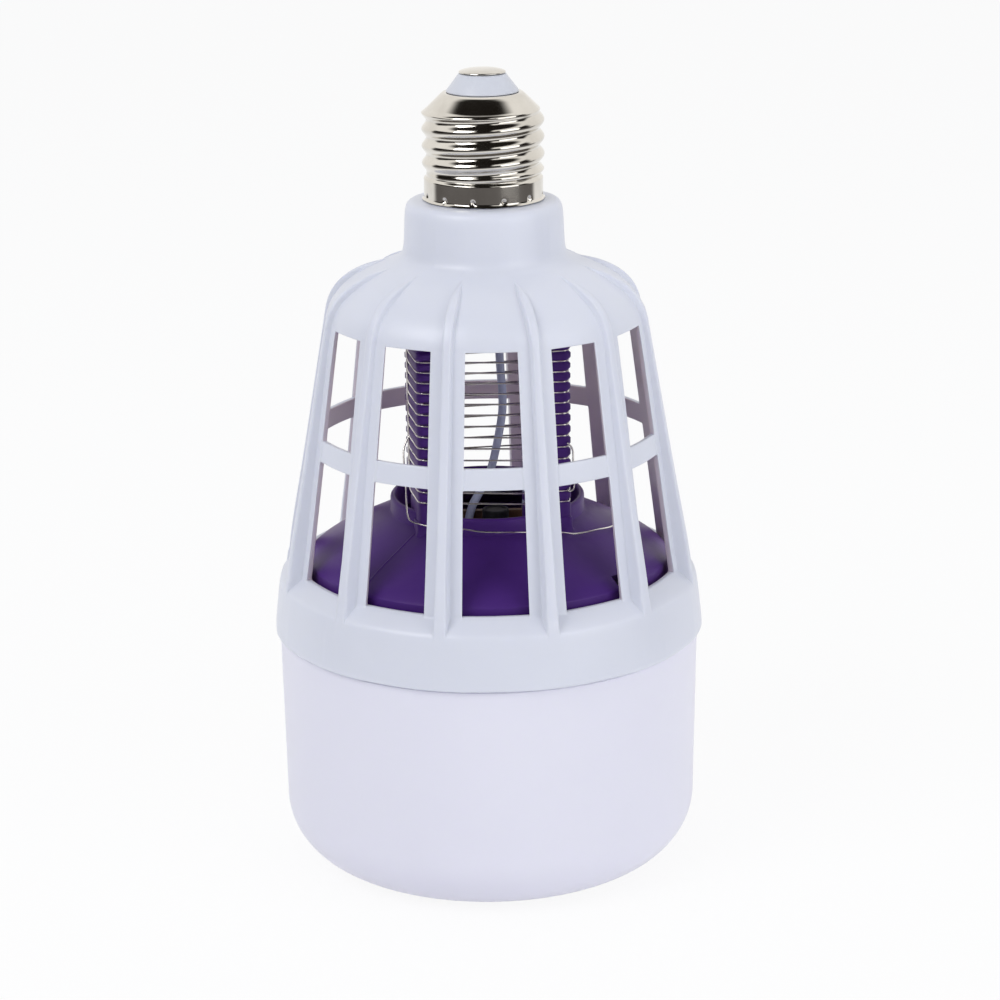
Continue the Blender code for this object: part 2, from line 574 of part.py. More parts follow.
def grid_base(finish, group, tools):
    """Turned base with screw bosses below and one notch in its lip for a grid wire."""
    base = turned("grid_base", base_profile(), finish, group, closed=True)
    spots = [spot(BOSS_CIRCLE, (i + 0.5) * math.tau / BOSS_COUNT) for i in range(BOSS_COUNT)]
    share = (BASE_LIP_RADIUS - BOSS_CIRCLE) / (BASE_LIP_RADIUS - COLLAR_RADIUS)
    under_cone = Z_LIP + BASE_CONE_RISE * share - 0.6 * BASE_WALL - BOSS_RADIUS * 0.5
    bosses = as_tool(place("base_bosses", cylinder_mesh("base_bosses", BOSS_RADIUS, Z_BASE_FOOT, under_cone,
                                                        spots, 12), None, tools))
    boolean(base, bosses, "UNION")
    feet = as_tool(place("leg_bosses", cylinder_mesh("leg_bosses", LEG_BOSS_RADIUS, Z_COLLAR_FOOT - LEG_BOSS_ROOT,
                                                     Z_LEG_FOOT - CLEARANCE, leg_spots(), 12), None, tools))
    boolean(base, feet, "UNION")
    bores = as_tool(place("base_bores", cylinder_mesh("base_bores", BOSS_BORE_RADIUS, Z_BASE_FOOT - 1.0 * MM,
                                                      Z_BASE_FOOT + BOSS_BORE_DEPTH, spots, 12), None, tools))
    boolean(base, bores, "DIFFERENCE")
    notch_low = Z_LIP - 2.2 * MM
    notch_high = Z_LIP + BASE_CONE_RISE
    reach = 4.0 * MM
    notch = box_piece("lip_notch", (NOTCH_WIDTH, NOTCH_DEPTH + reach, notch_high - notch_low),
                      (*spot(BASE_LIP_RADIUS - NOTCH_DEPTH / 2 + reach / 2, NOTCH_ANGLE),
                       (notch_low + notch_high) / 2), None, tools, turn=NOTCH_ANGLE)
    boolean(base, as_tool(notch), "DIFFERENCE")
    return base


def post_axes(index):
    """Corner, direction along the post's face, and outward normal of one post."""
    turn = Matrix.Rotation(index * math.tau / POST_COUNT, 3, "Z")
    corner = turn @ Vector((*spot(POST_CIRCLE, POST_BEARING), 0.0))
    along = turn @ Vector((math.sin(POST_TILT), -math.cos(POST_TILT), 0.0))
    normal = turn @ Vector((-math.cos(POST_TILT), -math.sin(POST_TILT), 0.0))
    return corner, along, normal


def post_level(index, level):
    """Height of a groove; the four posts are stepped so that the windings climb."""
    return Z_GRID + GRID_STEPS[index] + level * GRID_PITCH


def post_outline(start, stop, face):
    return [(start, face), (stop, face), (stop, -POST_THICKNESS), (start, -POST_THICKNESS)]


def post_rings(index):
    """Outlines (along, out) with their heights, from the foot to the ring, grooved for the wires."""
    ridge = post_outline(-TOOTH_HEIGHT, POST_LENGTH + TOOTH_HEIGHT, TOOTH_HEIGHT)
    clear = WIRE_RADIUS + CLEARANCE
    groove = post_outline(clear, POST_LENGTH - clear, -clear)
    rings = [(Z_POST_FOOT, ridge)]
    rings.append((post_level(index, 0) - TOOTH_GAP_HALF, ridge))
    for level in range(GRID_LEVELS):
        z = post_level(index, level)
        rings += [(z - GROOVE_HALF, groove), (z + GROOVE_HALF, groove), (z + GRID_PITCH / 2, ridge)]
    rings.append((Z_RING + RING_THICKNESS / 2, ridge))
    return rings


def post_tools(group):
    bm = bmesh.new()
    for index in range(POST_COUNT):
        corner, along, normal = post_axes(index)
        rings = []
        for z, outline in post_rings(index):
            origin = corner - along * POST_LENGTH + Vector((0, 0, z))
            rings.append([bm.verts.new(origin + along * t + normal * n) for t, n in outline])
        for lower, upper in zip(rings[:-1], rings[1:]):
            for i in range(len(lower)):
                j = (i + 1) % len(lower)
                bm.faces.new((lower[i], lower[j], upper[j], upper[i]))
        bm.faces.new(rings[0])
        bm.faces.new(rings[-1])
    return as_tool(place("grid_posts", finished_mesh(bm, "grid_posts"), None, group))


def leg_spots():
    return [spot(LEG_CIRCLE, (i - 0.5) * math.tau / POST_COUNT) for i in range(POST_COUNT)]


def grid_frame(finish, group, tools):
    """Top ring with a spigot for the neck, four grooved posts, and a round leg under each."""
    inner_spigot = RING_SPIGOT_RADIUS - RING_SPIGOT_WALL
    top = Z_RING + RING_THICKNESS
    points = [(RING_SPIGOT_RADIUS, top + RING_SPIGOT_HEIGHT), (RING_SPIGOT_RADIUS, top)]
    points += [(RING_OUTER_RADIUS, top), (RING_OUTER_RADIUS, Z_RING), (RING_INNER_RADIUS, Z_RING)]
    points += [(RING_INNER_RADIUS, top), (inner_spigot, top), (inner_spigot, top + RING_SPIGOT_HEIGHT)]
    frame = turned("grid_frame", points, finish, group, closed=True, steps=SMALL_TURN_STEPS)
    boolean(frame, post_tools(tools), "UNION")
    legs = cylinder_mesh("grid_legs", LEG_RADIUS, Z_LEG_FOOT, Z_POST_FOOT + 0.5 * MM, leg_spots(), 12)
    boolean(frame, as_tool(place("grid_legs", legs, None, tools)), "UNION")
    return frame


def winding_points(first):
    """One winding: level across the front, then it climbs two pitches in the other three spans."""
    corner, along, _ = post_axes(1)
    height = Vector((0.0, 0.0, post_level(1, first)))
    points = [corner + height, corner - along * POST_LENGTH + height]
    for turn in range(first, GRID_LEVELS - 2, 2):
        for index, climb in ((0, 0), (3, 0), (2, 1), (1, 2)):
            corner, along, _ = post_axes(index)
            height = Vector((0.0, 0.0, post_level(index, turn + climb)))
            points.append(corner + height)
            points.append(corner - along * POST_LENGTH + height)
    return points


def wire_piece(name, points, radius, finish, group, resolution=2):
    """A round wire along points, made a mesh with welded end caps."""
    curve = bpy.data.curves.new(name, "CURVE")
    curve.dimensions = "3D"
    curve.bevel_depth = radius
    curve.bevel_resolution = resolution
    curve.use_fill_caps = True
    spline = curve.splines.new("POLY")
    spline.points.add(len(points) - 1)
    for target, point in zip(spline.points, points):
        target.co = (*point, 1.0)
    return place(name, curve, finish, group)


def smooth_route(route, count):
    """Evenly spaced points on a smooth curve through the route's own points."""
    route = np.array(route, dtype=float)
    ends = np.vstack([2 * route[0] - route[1], route, 2 * route[-1] - route[-2]])
    dense = []
    for i in range(1, len(ends) - 2):
        a, b, c, d = ends[i - 1:i + 3]
        for t in np.linspace(0, 1, 24, endpoint=False):
            dense.append(0.5 * (2 * b + (c - a) * t + (2 * a - 5 * b + 4 * c - d) * t * t
                                + (3 * b - a - 3 * c + d) * t ** 3))
    dense.append(route[-1])
    dense = np.array(dense)
    gaps = np.linalg.norm(np.diff(dense, axis=0), axis=1)
    run = np.concatenate([[0.0], np.cumsum(gaps)])
    wanted = np.linspace(0.0, run[-1], count)
    return [Vector([np.interp(w, run, dense[:, k]) for k in range(3)]) for w in wanted]


def leads(finish, group):
    """Two insulated mains leads from the cap, down inside the grid, to the driver board."""
    start_z = Z_CONTACT_RIM - CONTACT_PIN_LENGTH - CLEARANCE
    front = DRIVER_Y - DRIVER_THICKNESS / 2 - CLEARANCE - LEAD_RADIUS
    rear = DRIVER_Y + DRIVER_THICKNESS / 2 + CLEARANCE + LEAD_RADIUS
    live = [(0.0, 0.0, start_z), (0.3 * MM, 0.0, start_z - 8 * MM), (2.4 * MM, 0.4 * MM, Z_NECK_FOOT),
            (3.0 * MM, 0.3 * MM, Z_UPPER_TOP - 8 * MM), (3.55 * MM, 0.0, Z_UPPER_BOTTOM + 6 * MM),
            (3.2 * MM, -0.3 * MM, Z_UPPER_BOTTOM), (0.9 * MM, -2.6 * MM, Z_COLLAR_TOP + 6 * MM),
            (-1.9 * MM, -5.7 * MM, Z_COLLAR_TOP + 1.2 * MM), (-3.6 * MM, front - 0.2 * MM, Z_COLLAR_TOP - 2 * MM),
            (-5.3 * MM, front, Z_COLLAR_TOP - 9 * MM)]
    seat = CAP_SEAT_RADIUS - CAGE_WALL - LEAD_RADIUS
    neutral = [(seat - 0.6 * MM, 0.0, start_z - 3 * MM), (seat - 1.2 * MM, 0.6 * MM, start_z - 12 * MM),
               (8.6 * MM, 2.0 * MM, Z_NECK_FOOT - 4 * MM), (9.4 * MM, 3.4 * MM, Z_UPPER_BOTTOM + 10 * MM),
               (9.2 * MM, 2.6 * MM, Z_LOWER_TOP), (8.6 * MM, rear + 1.2 * MM, Z_COLLAR_TOP),
               (8.2 * MM, rear, Z_COLLAR_TOP - 7 * MM)]
    wire_piece("live_lead", smooth_route(live, 18), LEAD_RADIUS, finish, group)
    wire_piece("neutral_lead", smooth_route(neutral, 14), LEAD_RADIUS, finish, group)


def windings(finish, group):
    for name, first in (("ground_winding", 0), ("high_voltage_winding", 1)):
        wire_piece(name, winding_points(first), WIRE_RADIUS, finish, group, resolution=0)


def heat_plate(finish, group, tools):
    """Dished aluminium plate that carries the boards, on the diffuser's spigot."""
    rim = PLATE_RADIUS - PLATE_THICKNESS
    points = [(PLATE_RADIUS, Z_PLATE + PLATE_RIM_HEIGHT), (PLATE_RADIUS, Z_PLATE), (PLATE_HOLE_RADIUS, Z_PLATE),
              (PLATE_HOLE_RADIUS, Z_PLATE_TOP), (rim, Z_PLATE_TOP), (rim, Z_PLATE + PLATE_RIM_HEIGHT)]
    plate = turned("heat_plate", points, finish, group, closed=True)
    boolean(plate, screw_holes("plate_holes", Z_PLATE, Z_PLATE_TOP, tools), "DIFFERENCE")
    return plate


def screw_spots():
    return [spot(BOSS_CIRCLE, (i + 0.5) * math.tau / BOSS_COUNT) for i in range(BOSS_COUNT)]


def screw_holes(name, low, high, tools):
    mesh = cylinder_mesh(name, SCREW_SHANK_RADIUS + CLEARANCE, low - 1 * MM, high + 1 * MM, screw_spots(), 10)
    return as_tool(place(name, mesh, None, tools))


def lighting_board(board_finish, chip_finish, screw_finish, group, tools):
    """Aluminium-core board under the heat plate, its white chips facing the diffuser."""
    points = [(BOARD_RADIUS, Z_BOARD_TOP), (BOARD_RADIUS, Z_BOARD),
              (BOARD_HOLE_RADIUS, Z_BOARD), (BOARD_HOLE_RADIUS, Z_BOARD_TOP)]
    board = turned("lighting_board", points, board_finish, group, closed=True)
    boolean(board, screw_holes("board_holes", Z_BOARD, Z_BOARD_TOP, tools), "DIFFERENCE")
    chip_z = Z_BOARD - CLEARANCE - CHIP_SIZE[2] / 2
    for index in range(CHIP_COUNT):
        angle = index * math.tau / CHIP_COUNT
        box_piece(f"lighting_chip_{index + 1:02d}", CHIP_SIZE, (*spot(CHIP_CIRCLE, angle), chip_z),
                  chip_finish, group, turn=angle)
    head_top = Z_BOARD - CLEARANCE
    for index, (x, y) in enumerate(screw_spots()):
        points = [(0.0, head_top + SCREW_LENGTH), (SCREW_SHANK_RADIUS, head_top + SCREW_LENGTH),
                  (SCREW_SHANK_RADIUS, head_top), (SCREW_HEAD_RADIUS, head_top),
                  (0.8 * SCREW_HEAD_RADIUS, head_top - SCREW_HEAD_HEIGHT), (0.0, head_top - SCREW_HEAD_HEIGHT)]
        screw = turned(f"board_screw_{index + 1}", points, screw_finish, group, closed=False, steps=12)
        screw.location = (x, y, 0.0)


def ultraviolet_ring(board_finish, chip_finish, group):
    """Small ring board on the heat plate that lights the violet base from inside."""
    low = Z_PLATE_TOP + CLEARANCE
    high = low + UV_RING_THICKNESS
    points = [(UV_RING_OUTER, high), (UV_RING_OUTER, low), (UV_RING_INNER, low), (UV_RING_INNER, high)]
    turned("ultraviolet_board", points, board_finish, group, closed=True)
    for index in range(UV_CHIP_COUNT):
        angle = index * math.tau / UV_CHIP_COUNT
        centre = (*spot((UV_RING_INNER + UV_RING_OUTER) / 2, angle), high + CLEARANCE + UV_CHIP_SIZE[2] / 2)
        box_piece(f"ultraviolet_chip_{index + 1}", UV_CHIP_SIZE, centre, chip_finish, group, turn=angle)


def driver(finishes, group):
    """Upright driver board between the collar's walls, with its parts on both faces."""
    low = Z_PLATE_TOP + CLEARANCE
    reach = abs(DRIVER_Y) + DRIVER_THICKNESS / 2
    half = math.sqrt((COLLAR_BORE - CLEARANCE) ** 2 - reach ** 2)
    box_piece("driver_board", (2 * half, DRIVER_THICKNESS, DRIVER_HEIGHT),
              (0.0, DRIVER_Y, low + DRIVER_HEIGHT / 2), finishes["phenolic"], group)
    front = DRIVER_Y - DRIVER_THICKNESS / 2 - CLEARANCE
    rear = DRIVER_Y + DRIVER_THICKNESS / 2 + CLEARANCE
    top = low + DRIVER_HEIGHT
    points = [(0.0, 0.0), (CAPACITOR_RADIUS - 0.4 * MM, 0.0), (CAPACITOR_RADIUS, -0.4 * MM),
              (CAPACITOR_RADIUS, -CAPACITOR_HEIGHT), (0.0, -CAPACITOR_HEIGHT)]
    can = turned("smoothing_capacitor", points, finishes["black"], group, closed=False, steps=16)
    can.location = (CAPACITOR_X, front - CAPACITOR_RADIUS, top - 0.6 * MM)
    box_piece("high_voltage_transformer", TRANSFORMER_SIZE,
              (TRANSFORMER_X, rear + TRANSFORMER_SIZE[1] / 2, low + TRANSFORMER_SIZE[2] / 2 + 1 * MM),
              finishes["tape"], group, edge=0.5 * MM)
    box_piece("film_capacitor", FILM_CAPACITOR_SIZE,
              (FILM_CAPACITOR_X, front - FILM_CAPACITOR_SIZE[1] / 2, low + FILM_CAPACITOR_SIZE[2] / 2 + 2 * MM),
              finishes["red"], group, edge=0.5 * MM)
    box_piece("rectifier", RECTIFIER_SIZE,
              (RECTIFIER_X, front - RECTIFIER_SIZE[1] / 2, low + RECTIFIER_SIZE[2] / 2 + 3 * MM),
              finishes["black"], group)
    points = [(0.0, CHOKE_LENGTH), (CHOKE_RADIUS, CHOKE_LENGTH), (CHOKE_RADIUS, 0.85 * CHOKE_LENGTH),
              (0.8 * CHOKE_RADIUS, 0.8 * CHOKE_LENGTH), (0.8 * CHOKE_RADIUS, 0.2 * CHOKE_LENGTH),
              (CHOKE_RADIUS, 0.15 * CHOKE_LENGTH), (CHOKE_RADIUS, 0.0), (0.0, 0.0)]
    choke = turned("choke", points, finishes["ferrite"], group, closed=False, steps=16)
    choke.location = (CHOKE_X, rear + CHOKE_RADIUS, low + 1.5 * MM)


def build():
    clear_scene()
    group = make_collection("insect_killer_light_bulb")
    tools = make_collection("cutters")
    white = material("white_moulding", (0.68, 0.70, 0.78), 0.38)
    violet = material("violet_moulding", (0.058, 0.020, 0.160), 0.42)
    milky = material("milky_diffuser", (0.74, 0.73, 0.86), 0.35)
    nickel = material("nickel_plate", (0.72, 0.70, 0.67), 0.16, metallic=1.0)
    insulator = material("cap_insulator_white", (0.72, 0.73, 0.78), 0.4)
    steel = material("grid_steel", (0.55, 0.53, 0.50), 0.3, metallic=1.0)
    aluminium = material("aluminium_plate", (0.75, 0.75, 0.76), 0.4, metallic=1.0)
    white_mask = material("white_board", (0.85, 0.86, 0.85), 0.45)
    phosphor = material("chip_phosphor", (0.85, 0.70, 0.12), 0.4)
    dark_lens = material("ultraviolet_lens", (0.30, 0.26, 0.42), 0.2)
    sleeve = material("lead_sleeve", (0.33, 0.37, 0.52), 0.45)
    finishes = {
        "phenolic": material("phenolic_board", (0.20, 0.095, 0.035), 0.55),
        "black": material("black_sleeve", (0.012, 0.012, 0.014), 0.4),
        "tape": material("transformer_tape", (0.50, 0.34, 0.05), 0.5),
        "red": material("film_resin", (0.28, 0.045, 0.02), 0.4),
        "ferrite": material("ferrite", (0.05, 0.05, 0.055), 0.6),
    }
    turned("diffuser", diffuser_profile(), milky, group, closed=False)
    cage_housing(white, group, tools)
    screw_shell(nickel, group)
    cap_insulator(insulator, group)
    centre_contact(nickel, group)
    grid_base(violet, group, tools)
    grid_frame(violet, group, tools)
    windings(steel, group)
    leads(sleeve, group)
    heat_plate(aluminium, group, tools)
    lighting_board(white_mask, phosphor, steel, group, tools)
    ultraviolet_ring(white_mask, dark_lens, group)
    driver(finishes, group)


build()
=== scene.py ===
"""Insect killer light bulb: detailed pieces, finishes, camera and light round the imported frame.

Lengths in the tables are millimetres in the frame's own axes: +Z up, the middle of one window facing -Y.
"""
import math

import bmesh
import bpy
import numpy as np
from mathutils import Matrix, Vector


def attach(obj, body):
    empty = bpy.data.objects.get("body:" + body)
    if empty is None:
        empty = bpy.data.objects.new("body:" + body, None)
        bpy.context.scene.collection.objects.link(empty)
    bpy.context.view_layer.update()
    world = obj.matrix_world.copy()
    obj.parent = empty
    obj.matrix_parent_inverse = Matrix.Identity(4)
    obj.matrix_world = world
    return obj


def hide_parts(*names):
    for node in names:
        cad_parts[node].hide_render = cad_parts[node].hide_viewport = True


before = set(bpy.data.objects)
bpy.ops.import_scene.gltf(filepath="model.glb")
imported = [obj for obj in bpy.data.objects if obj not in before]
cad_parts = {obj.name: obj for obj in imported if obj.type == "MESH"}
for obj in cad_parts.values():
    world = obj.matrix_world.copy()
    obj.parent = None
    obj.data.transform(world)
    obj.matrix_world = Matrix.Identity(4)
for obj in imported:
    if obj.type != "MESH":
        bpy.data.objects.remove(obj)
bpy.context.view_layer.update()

MM = 0.001
BODY = "root"

# Heights and radii that the pieces share
SEAM_Z = 52.7
SILL_Z = 67.6
LOWER_TOP_Z = 93.7
UPPER_FOOT_Z = 98.3
UPPER_TOP_Z = 122.0
DOME_EDGE_Z = 122.9
DOME_TOP_Z = 134.5
NECK_TOP_Z = 147.68
SILL_RADIUS = 42.12
TAPER = 0.1397
WALL = 1.1
BARS = 12
HALF_BAR = math.pi / BARS
SHELL_RIM_Z = 147.98
GRID_PITCH = 2.375
GRID_FOOT_Z = 84.93
GRID_LEVELS = 16
POST_STEPS = (0.15, -0.6, 1.03, 2.3)
POST_CORNER = (-15.2, -17.1)
POST_TILT = math.radians(11.2)
POST_LENGTH = 9.28
POST_DEPTH = 3.4
RING_Z = 125.3
THREAD_PITCH = 3.629


# ---------------------------------------------------------------- mesh helpers
def grid_quads(rows, cols):
    """Quads of a grid that closes round. Rows run down the outside, columns anticlockwise seen from above."""
    r, c = np.meshgrid(np.arange(rows - 1), np.arange(cols), indexing="ij")
    d = (c + 1) % cols
    return np.stack([r * cols + c, (r + 1) * cols + c, (r + 1) * cols + d, r * cols + d], -1).reshape(-1, 4)


def make_piece(name, parts, finish, replaced, sharp=40.0, subdivide=0):
    """One object from several (points in mm, quads) shells, its doubles merged and its normals pointing out."""
    points, faces, offset = [], [], 0
    for shell_points, shell_quads in parts:
        flat = np.asarray(shell_points, float).reshape(-1, 3)
        points.append(flat)
        faces.append(np.asarray(shell_quads) + offset)
        offset += len(flat)
    mesh = bpy.data.meshes.new(name)
    mesh.from_pydata((np.concatenate(points) * MM).tolist(), [], np.concatenate(faces).tolist())
    work = bmesh.new()
    work.from_mesh(mesh)
    bmesh.ops.remove_doubles(work, verts=work.verts, dist=2e-6)
    bmesh.ops.dissolve_degenerate(work, edges=work.edges, dist=1e-7)
    loose = [v for v in work.verts if not v.link_faces]
    bmesh.ops.delete(work, geom=loose, context="VERTS")
    bmesh.ops.recalc_face_normals(work, faces=work.faces)
    work.to_mesh(mesh)
    work.free()
    mesh.shade_smooth()
    if sharp and not subdivide:
        mesh.set_sharp_from_angle(angle=math.radians(sharp))
    piece = bpy.data.objects.new(name, mesh)
    bpy.context.scene.collection.objects.link(piece)
    piece.data.materials.append(finish)
    if subdivide:
        smoother = piece.modifiers.new("Smooth", "SUBSURF")
        smoother.levels = subdivide
        smoother.render_levels = subdivide
    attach(piece, BODY)
    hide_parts(*replaced)


def turned(profile, cols, closed=True):
    """A profile of (r, z) points turned round the axis: point = (r sin a, -r cos a, z)."""
    profile = np.asarray(profile, float)
    if closed:
        profile = np.vstack([profile, profile[:1]])
    angle = np.arange(cols) * 2 * np.pi / cols
    r, z = profile[:, :1], profile[:, 1:]
    points = np.stack([r * np.sin(angle), -r * np.cos(angle), z + 0 * angle], -1)
    return points, grid_quads(len(profile), cols)


def layered_shell(layers, solid):
    """A wall between skins: layers has shape (depth, rows, cols, 3), solid says which cells are kept.

    The outer skin is layer 0 and the inner one the last. Each border of a kept cell with an empty one, and the
    first and last row, is closed by quads that run through all layers.
    """
    depth, rows, cols, _ = layers.shape
    index = np.arange(depth * rows * cols).reshape(depth, rows, cols)
    right = np.roll(index, -1, axis=2)
    outer = np.stack([index[0, :-1], index[0, 1:], right[0, 1:], right[0, :-1]], -1)[solid]
    inner = np.stack([index[-1, :-1], right[-1, :-1], right[-1, 1:], index[-1, 1:]], -1)[solid]
    quads = [outer, inner]
    padded = np.vstack([np.zeros((1, cols), bool), solid, np.zeros((1, cols), bool)])
    across = padded[1:] != padded[:-1]
    beside = solid != np.roll(solid, 1, axis=1)
    for k in range(depth - 1):
        quads.append(np.stack([index[k], right[k], right[k + 1], index[k + 1]], -1)[across])
        quads.append(np.stack([index[k, :-1], index[k, 1:], index[k + 1, 1:], index[k + 1, :-1]], -1)[beside])
    return layers.reshape(-1, 3), np.concatenate(quads)


def bezier(start, control, end, u):
    """Points of a quadratic curve at the shares u."""
    u = np.asarray(u, float)[:, None]
    start, control, end = (np.asarray(p, float) for p in (start, control, end))
    return (1 - u) ** 2 * start + 2 * u * (1 - u) * control + u ** 2 * end


def smooth_path(route, count):
    """Evenly spaced points on the Catmull-Rom curve through the route's points."""
    route = np.asarray(route, float)
    ends = np.vstack([2 * route[0] - route[1], route, 2 * route[-1] - route[-2]])
    a, b, c, d = ends[:-3, None], ends[1:-2, None], ends[2:-1, None], ends[3:, None]
    t = np.linspace(0, 1, 30, endpoint=False)[None, :, None]
    dense = 0.5 * (2 * b + (c - a) * t + (2 * a - 5 * b + 4 * c - d) * t ** 2 + (3 * b - a - 3 * c + d) * t ** 3)
    dense = np.vstack([dense.reshape(-1, 3), route[-1]])
    run = np.concatenate([[0], np.cumsum(np.linalg.norm(np.diff(dense, axis=0), axis=1))])
    wanted = np.linspace(0, run[-1], count)
    return np.stack([np.interp(wanted, run, dense[:, k]) for k in range(3)], -1)


def tube(path, radius, sides, towards=None):
    """A round tube carried along a path, its two ends closed.

    ring(t, a) = path(t) + radius (side cos a + up sin a), where side is square to the path and to a direction
    that the path never takes: the one given, or the one that points away from the lamp's axis.
    """
    path = np.asarray(path, float)
    tangent = np.gradient(path, axis=0)
    tangent /= np.linalg.norm(tangent, axis=1)[:, None]
    away = path * (1, 1, 0) if towards is None else np.broadcast_to(towards, path.shape)
    side = np.cross(tangent, away)
    side /= np.linalg.norm(side, axis=1)[:, None]
    up = np.cross(tangent, side)
    angle = np.arange(sides) * 2 * np.pi / sides
    ring = side[:, None] * np.cos(angle)[None, :, None] + up[:, None] * np.sin(angle)[None, :, None]
    points = path[:, None] + ring * radius
    points = np.concatenate([np.repeat(path[:1, None], sides, 1), points, np.repeat(path[-1:, None], sides, 1)])
    return points, grid_quads(len(points), sides)


def capped(rings):
    """Rings of points, the first and the last drawn together in their middles, with the quads between them."""
    count = rings.shape[1]
    middle = rings.mean(axis=1, keepdims=True)
    points = np.concatenate([np.repeat(middle[:1], count, 1), rings, np.repeat(middle[-1:], count, 1)])
    return points, grid_quads(len(points), count)


def block(centre, half_x, half_y, corner, rows, turn=0.0):
    """An upright block with rounded corners: at each (inset, z) its outline is drawn in by the inset.

    The outline is four quarter circles joined by straight sides, turned about its centre.
    """
    spots = []
    for k, (sx, sy) in enumerate(((1, 1), (-1, 1), (-1, -1), (1, -1))):
        a = np.radians(np.linspace(90 * k, 90 * k + 90, 6))
        spots.append(np.stack([np.full(6, sx * (half_x - corner)), np.full(6, sy * (half_y - corner)),
                               np.cos(a), np.sin(a)], -1))
    outline = np.vstack(spots)
    inset, z = np.asarray(rows, float).T
    x = outline[:, 0] + outline[:, 2] * (corner - inset[:, None])
    y = outline[:, 1] + outline[:, 3] * (corner - inset[:, None])
    c, s = math.cos(turn), math.sin(turn)
    level = np.repeat(z[:, None], len(outline), 1)
    points = np.stack([centre[0] + c * x - s * y, centre[1] + s * x + c * y, level], -1)
    return capped(points)


# ---------------------------------------------------------------- finishes
def new_finish(name, colour, roughness, metallic=0.0):
    """A Principled material with its constant values on the shader's own sockets."""
    finish = bpy.data.materials.new(name)
    finish.use_nodes = True
    shader = finish.node_tree.nodes["Principled BSDF"]
    shader.inputs["Base Color"].default_value = (*colour, 1.0)
    shader.inputs["Roughness"].default_value = roughness
    shader.inputs["Metallic"].default_value = metallic
    return finish, finish.node_tree.nodes, finish.node_tree.links, shader


def noise(nodes, links, scale, detail, stretch=(1, 1, 1)):
    """The value of a noise texture on Object coordinates, its scale in repeats per metre."""
    place = nodes.new("ShaderNodeTexCoord")
    mapping = nodes.new("ShaderNodeMapping")
    mapping.inputs["Scale"].default_value = stretch
    texture = nodes.new("ShaderNodeTexNoise")
    texture.inputs["Scale"].default_value = scale
    texture.inputs["Detail"].default_value = detail
    links.new(place.outputs["Object"], mapping.inputs["Vector"])
    links.new(mapping.outputs["Vector"], texture.inputs["Vector"])
    return texture.outputs["Fac"]


def ramp(nodes, links, value, low, high):
    """A two-colour ramp over the middle of a texture's value."""
    colours = nodes.new("ShaderNodeValToRGB")
    colours.color_ramp.elements[0].position = 0.3
    colours.color_ramp.elements[0].color = (*low, 1.0)
    colours.color_ramp.elements[1].position = 0.7
    colours.color_ramp.elements[1].color = (*high, 1.0)
    links.new(value, colours.inputs["Fac"])
    return colours.outputs["Color"]


def spread(nodes, links, value, low, high):
    """A texture's value mapped to a range of numbers."""
    span = nodes.new("ShaderNodeMapRange")
    span.inputs["To Min"].default_value = low
    span.inputs["To Max"].default_value = high
    links.new(value, span.inputs["Value"])
    return span.outputs["Result"]


def relief(nodes, links, shader, heights):
    """Bump from several (value, depth in metres) patterns, one after another."""
    last = None
    for value, depth in heights:
        bump = nodes.new("ShaderNodeBump")
        bump.inputs["Strength"].default_value = 1.0
        bump.inputs["Distance"].default_value = depth
        links.new(value, bump.inputs["Height"])
        if last is not None:
            links.new(last, bump.inputs["Normal"])
        last = bump.outputs["Normal"]
    links.new(last, shader.inputs["Normal"])


def moulding_finish(name, low, high, roughness, grain=0.00001):
    """Injection-moulded plastic: slow colour drift, a faint orange-peel relief and uneven gloss."""
    finish, nodes, links, shader = new_finish(name, high, roughness)
    drift = noise(nodes, links, 22.0, 3.0)
    links.new(ramp(nodes, links, drift, low, high), shader.inputs["Base Color"])
    peel = noise(nodes, links, 420.0, 2.0)
    fine = noise(nodes, links, 2600.0, 1.0)
    relief(nodes, links, shader, ((peel, 3 * grain), (fine, grain)))
    gloss = noise(nodes, links, 90.0, 4.0)
    uneven = 0.06
    links.new(spread(nodes, links, gloss, roughness - uneven, roughness + uneven), shader.inputs["Roughness"])
    return finish, nodes, links, shader


def paint_inner_bounce_light(nodes, links, shader, tint):
    """Painted bounce light: multiply the colour by a tint where the surface faces the lamp's axis: normal . (x, y,
    0) < 0, in place of the warm mauve light that the violet parts throw on the inner faces.
    """
    place = nodes.new("ShaderNodeTexCoord")
    flat = nodes.new("ShaderNodeVectorMath")
    flat.operation = "MULTIPLY"
    flat.inputs[1].default_value = (1, 1, 0)
    links.new(place.outputs["Object"], flat.inputs[0])
    outward = nodes.new("ShaderNodeVectorMath")
    outward.operation = "NORMALIZE"
    links.new(flat.outputs[0], outward.inputs[0])
    facing = nodes.new("ShaderNodeVectorMath")
    facing.operation = "DOT_PRODUCT"
    surface = nodes.new("ShaderNodeNewGeometry")
    links.new(surface.outputs["Normal"], facing.inputs[0])
    links.new(outward.outputs[0], facing.inputs[1])
    share = nodes.new("ShaderNodeMapRange")
    share.inputs["From Min"].default_value = -0.1
    share.inputs["From Max"].default_value = -0.6
    links.new(facing.outputs["Value"], share.inputs["Value"])
    mix = nodes.new("ShaderNodeMixRGB")
    mix.blend_type = "MULTIPLY"
    mix.inputs["Color2"].default_value = (*tint, 1.0)
    base = shader.inputs["Base Color"].links[0].from_socket
    links.new(share.outputs["Result"], mix.inputs["Fac"])
    links.new(base, mix.inputs["Color1"])
    links.new(mix.outputs["Color"], shader.inputs["Base Color"])


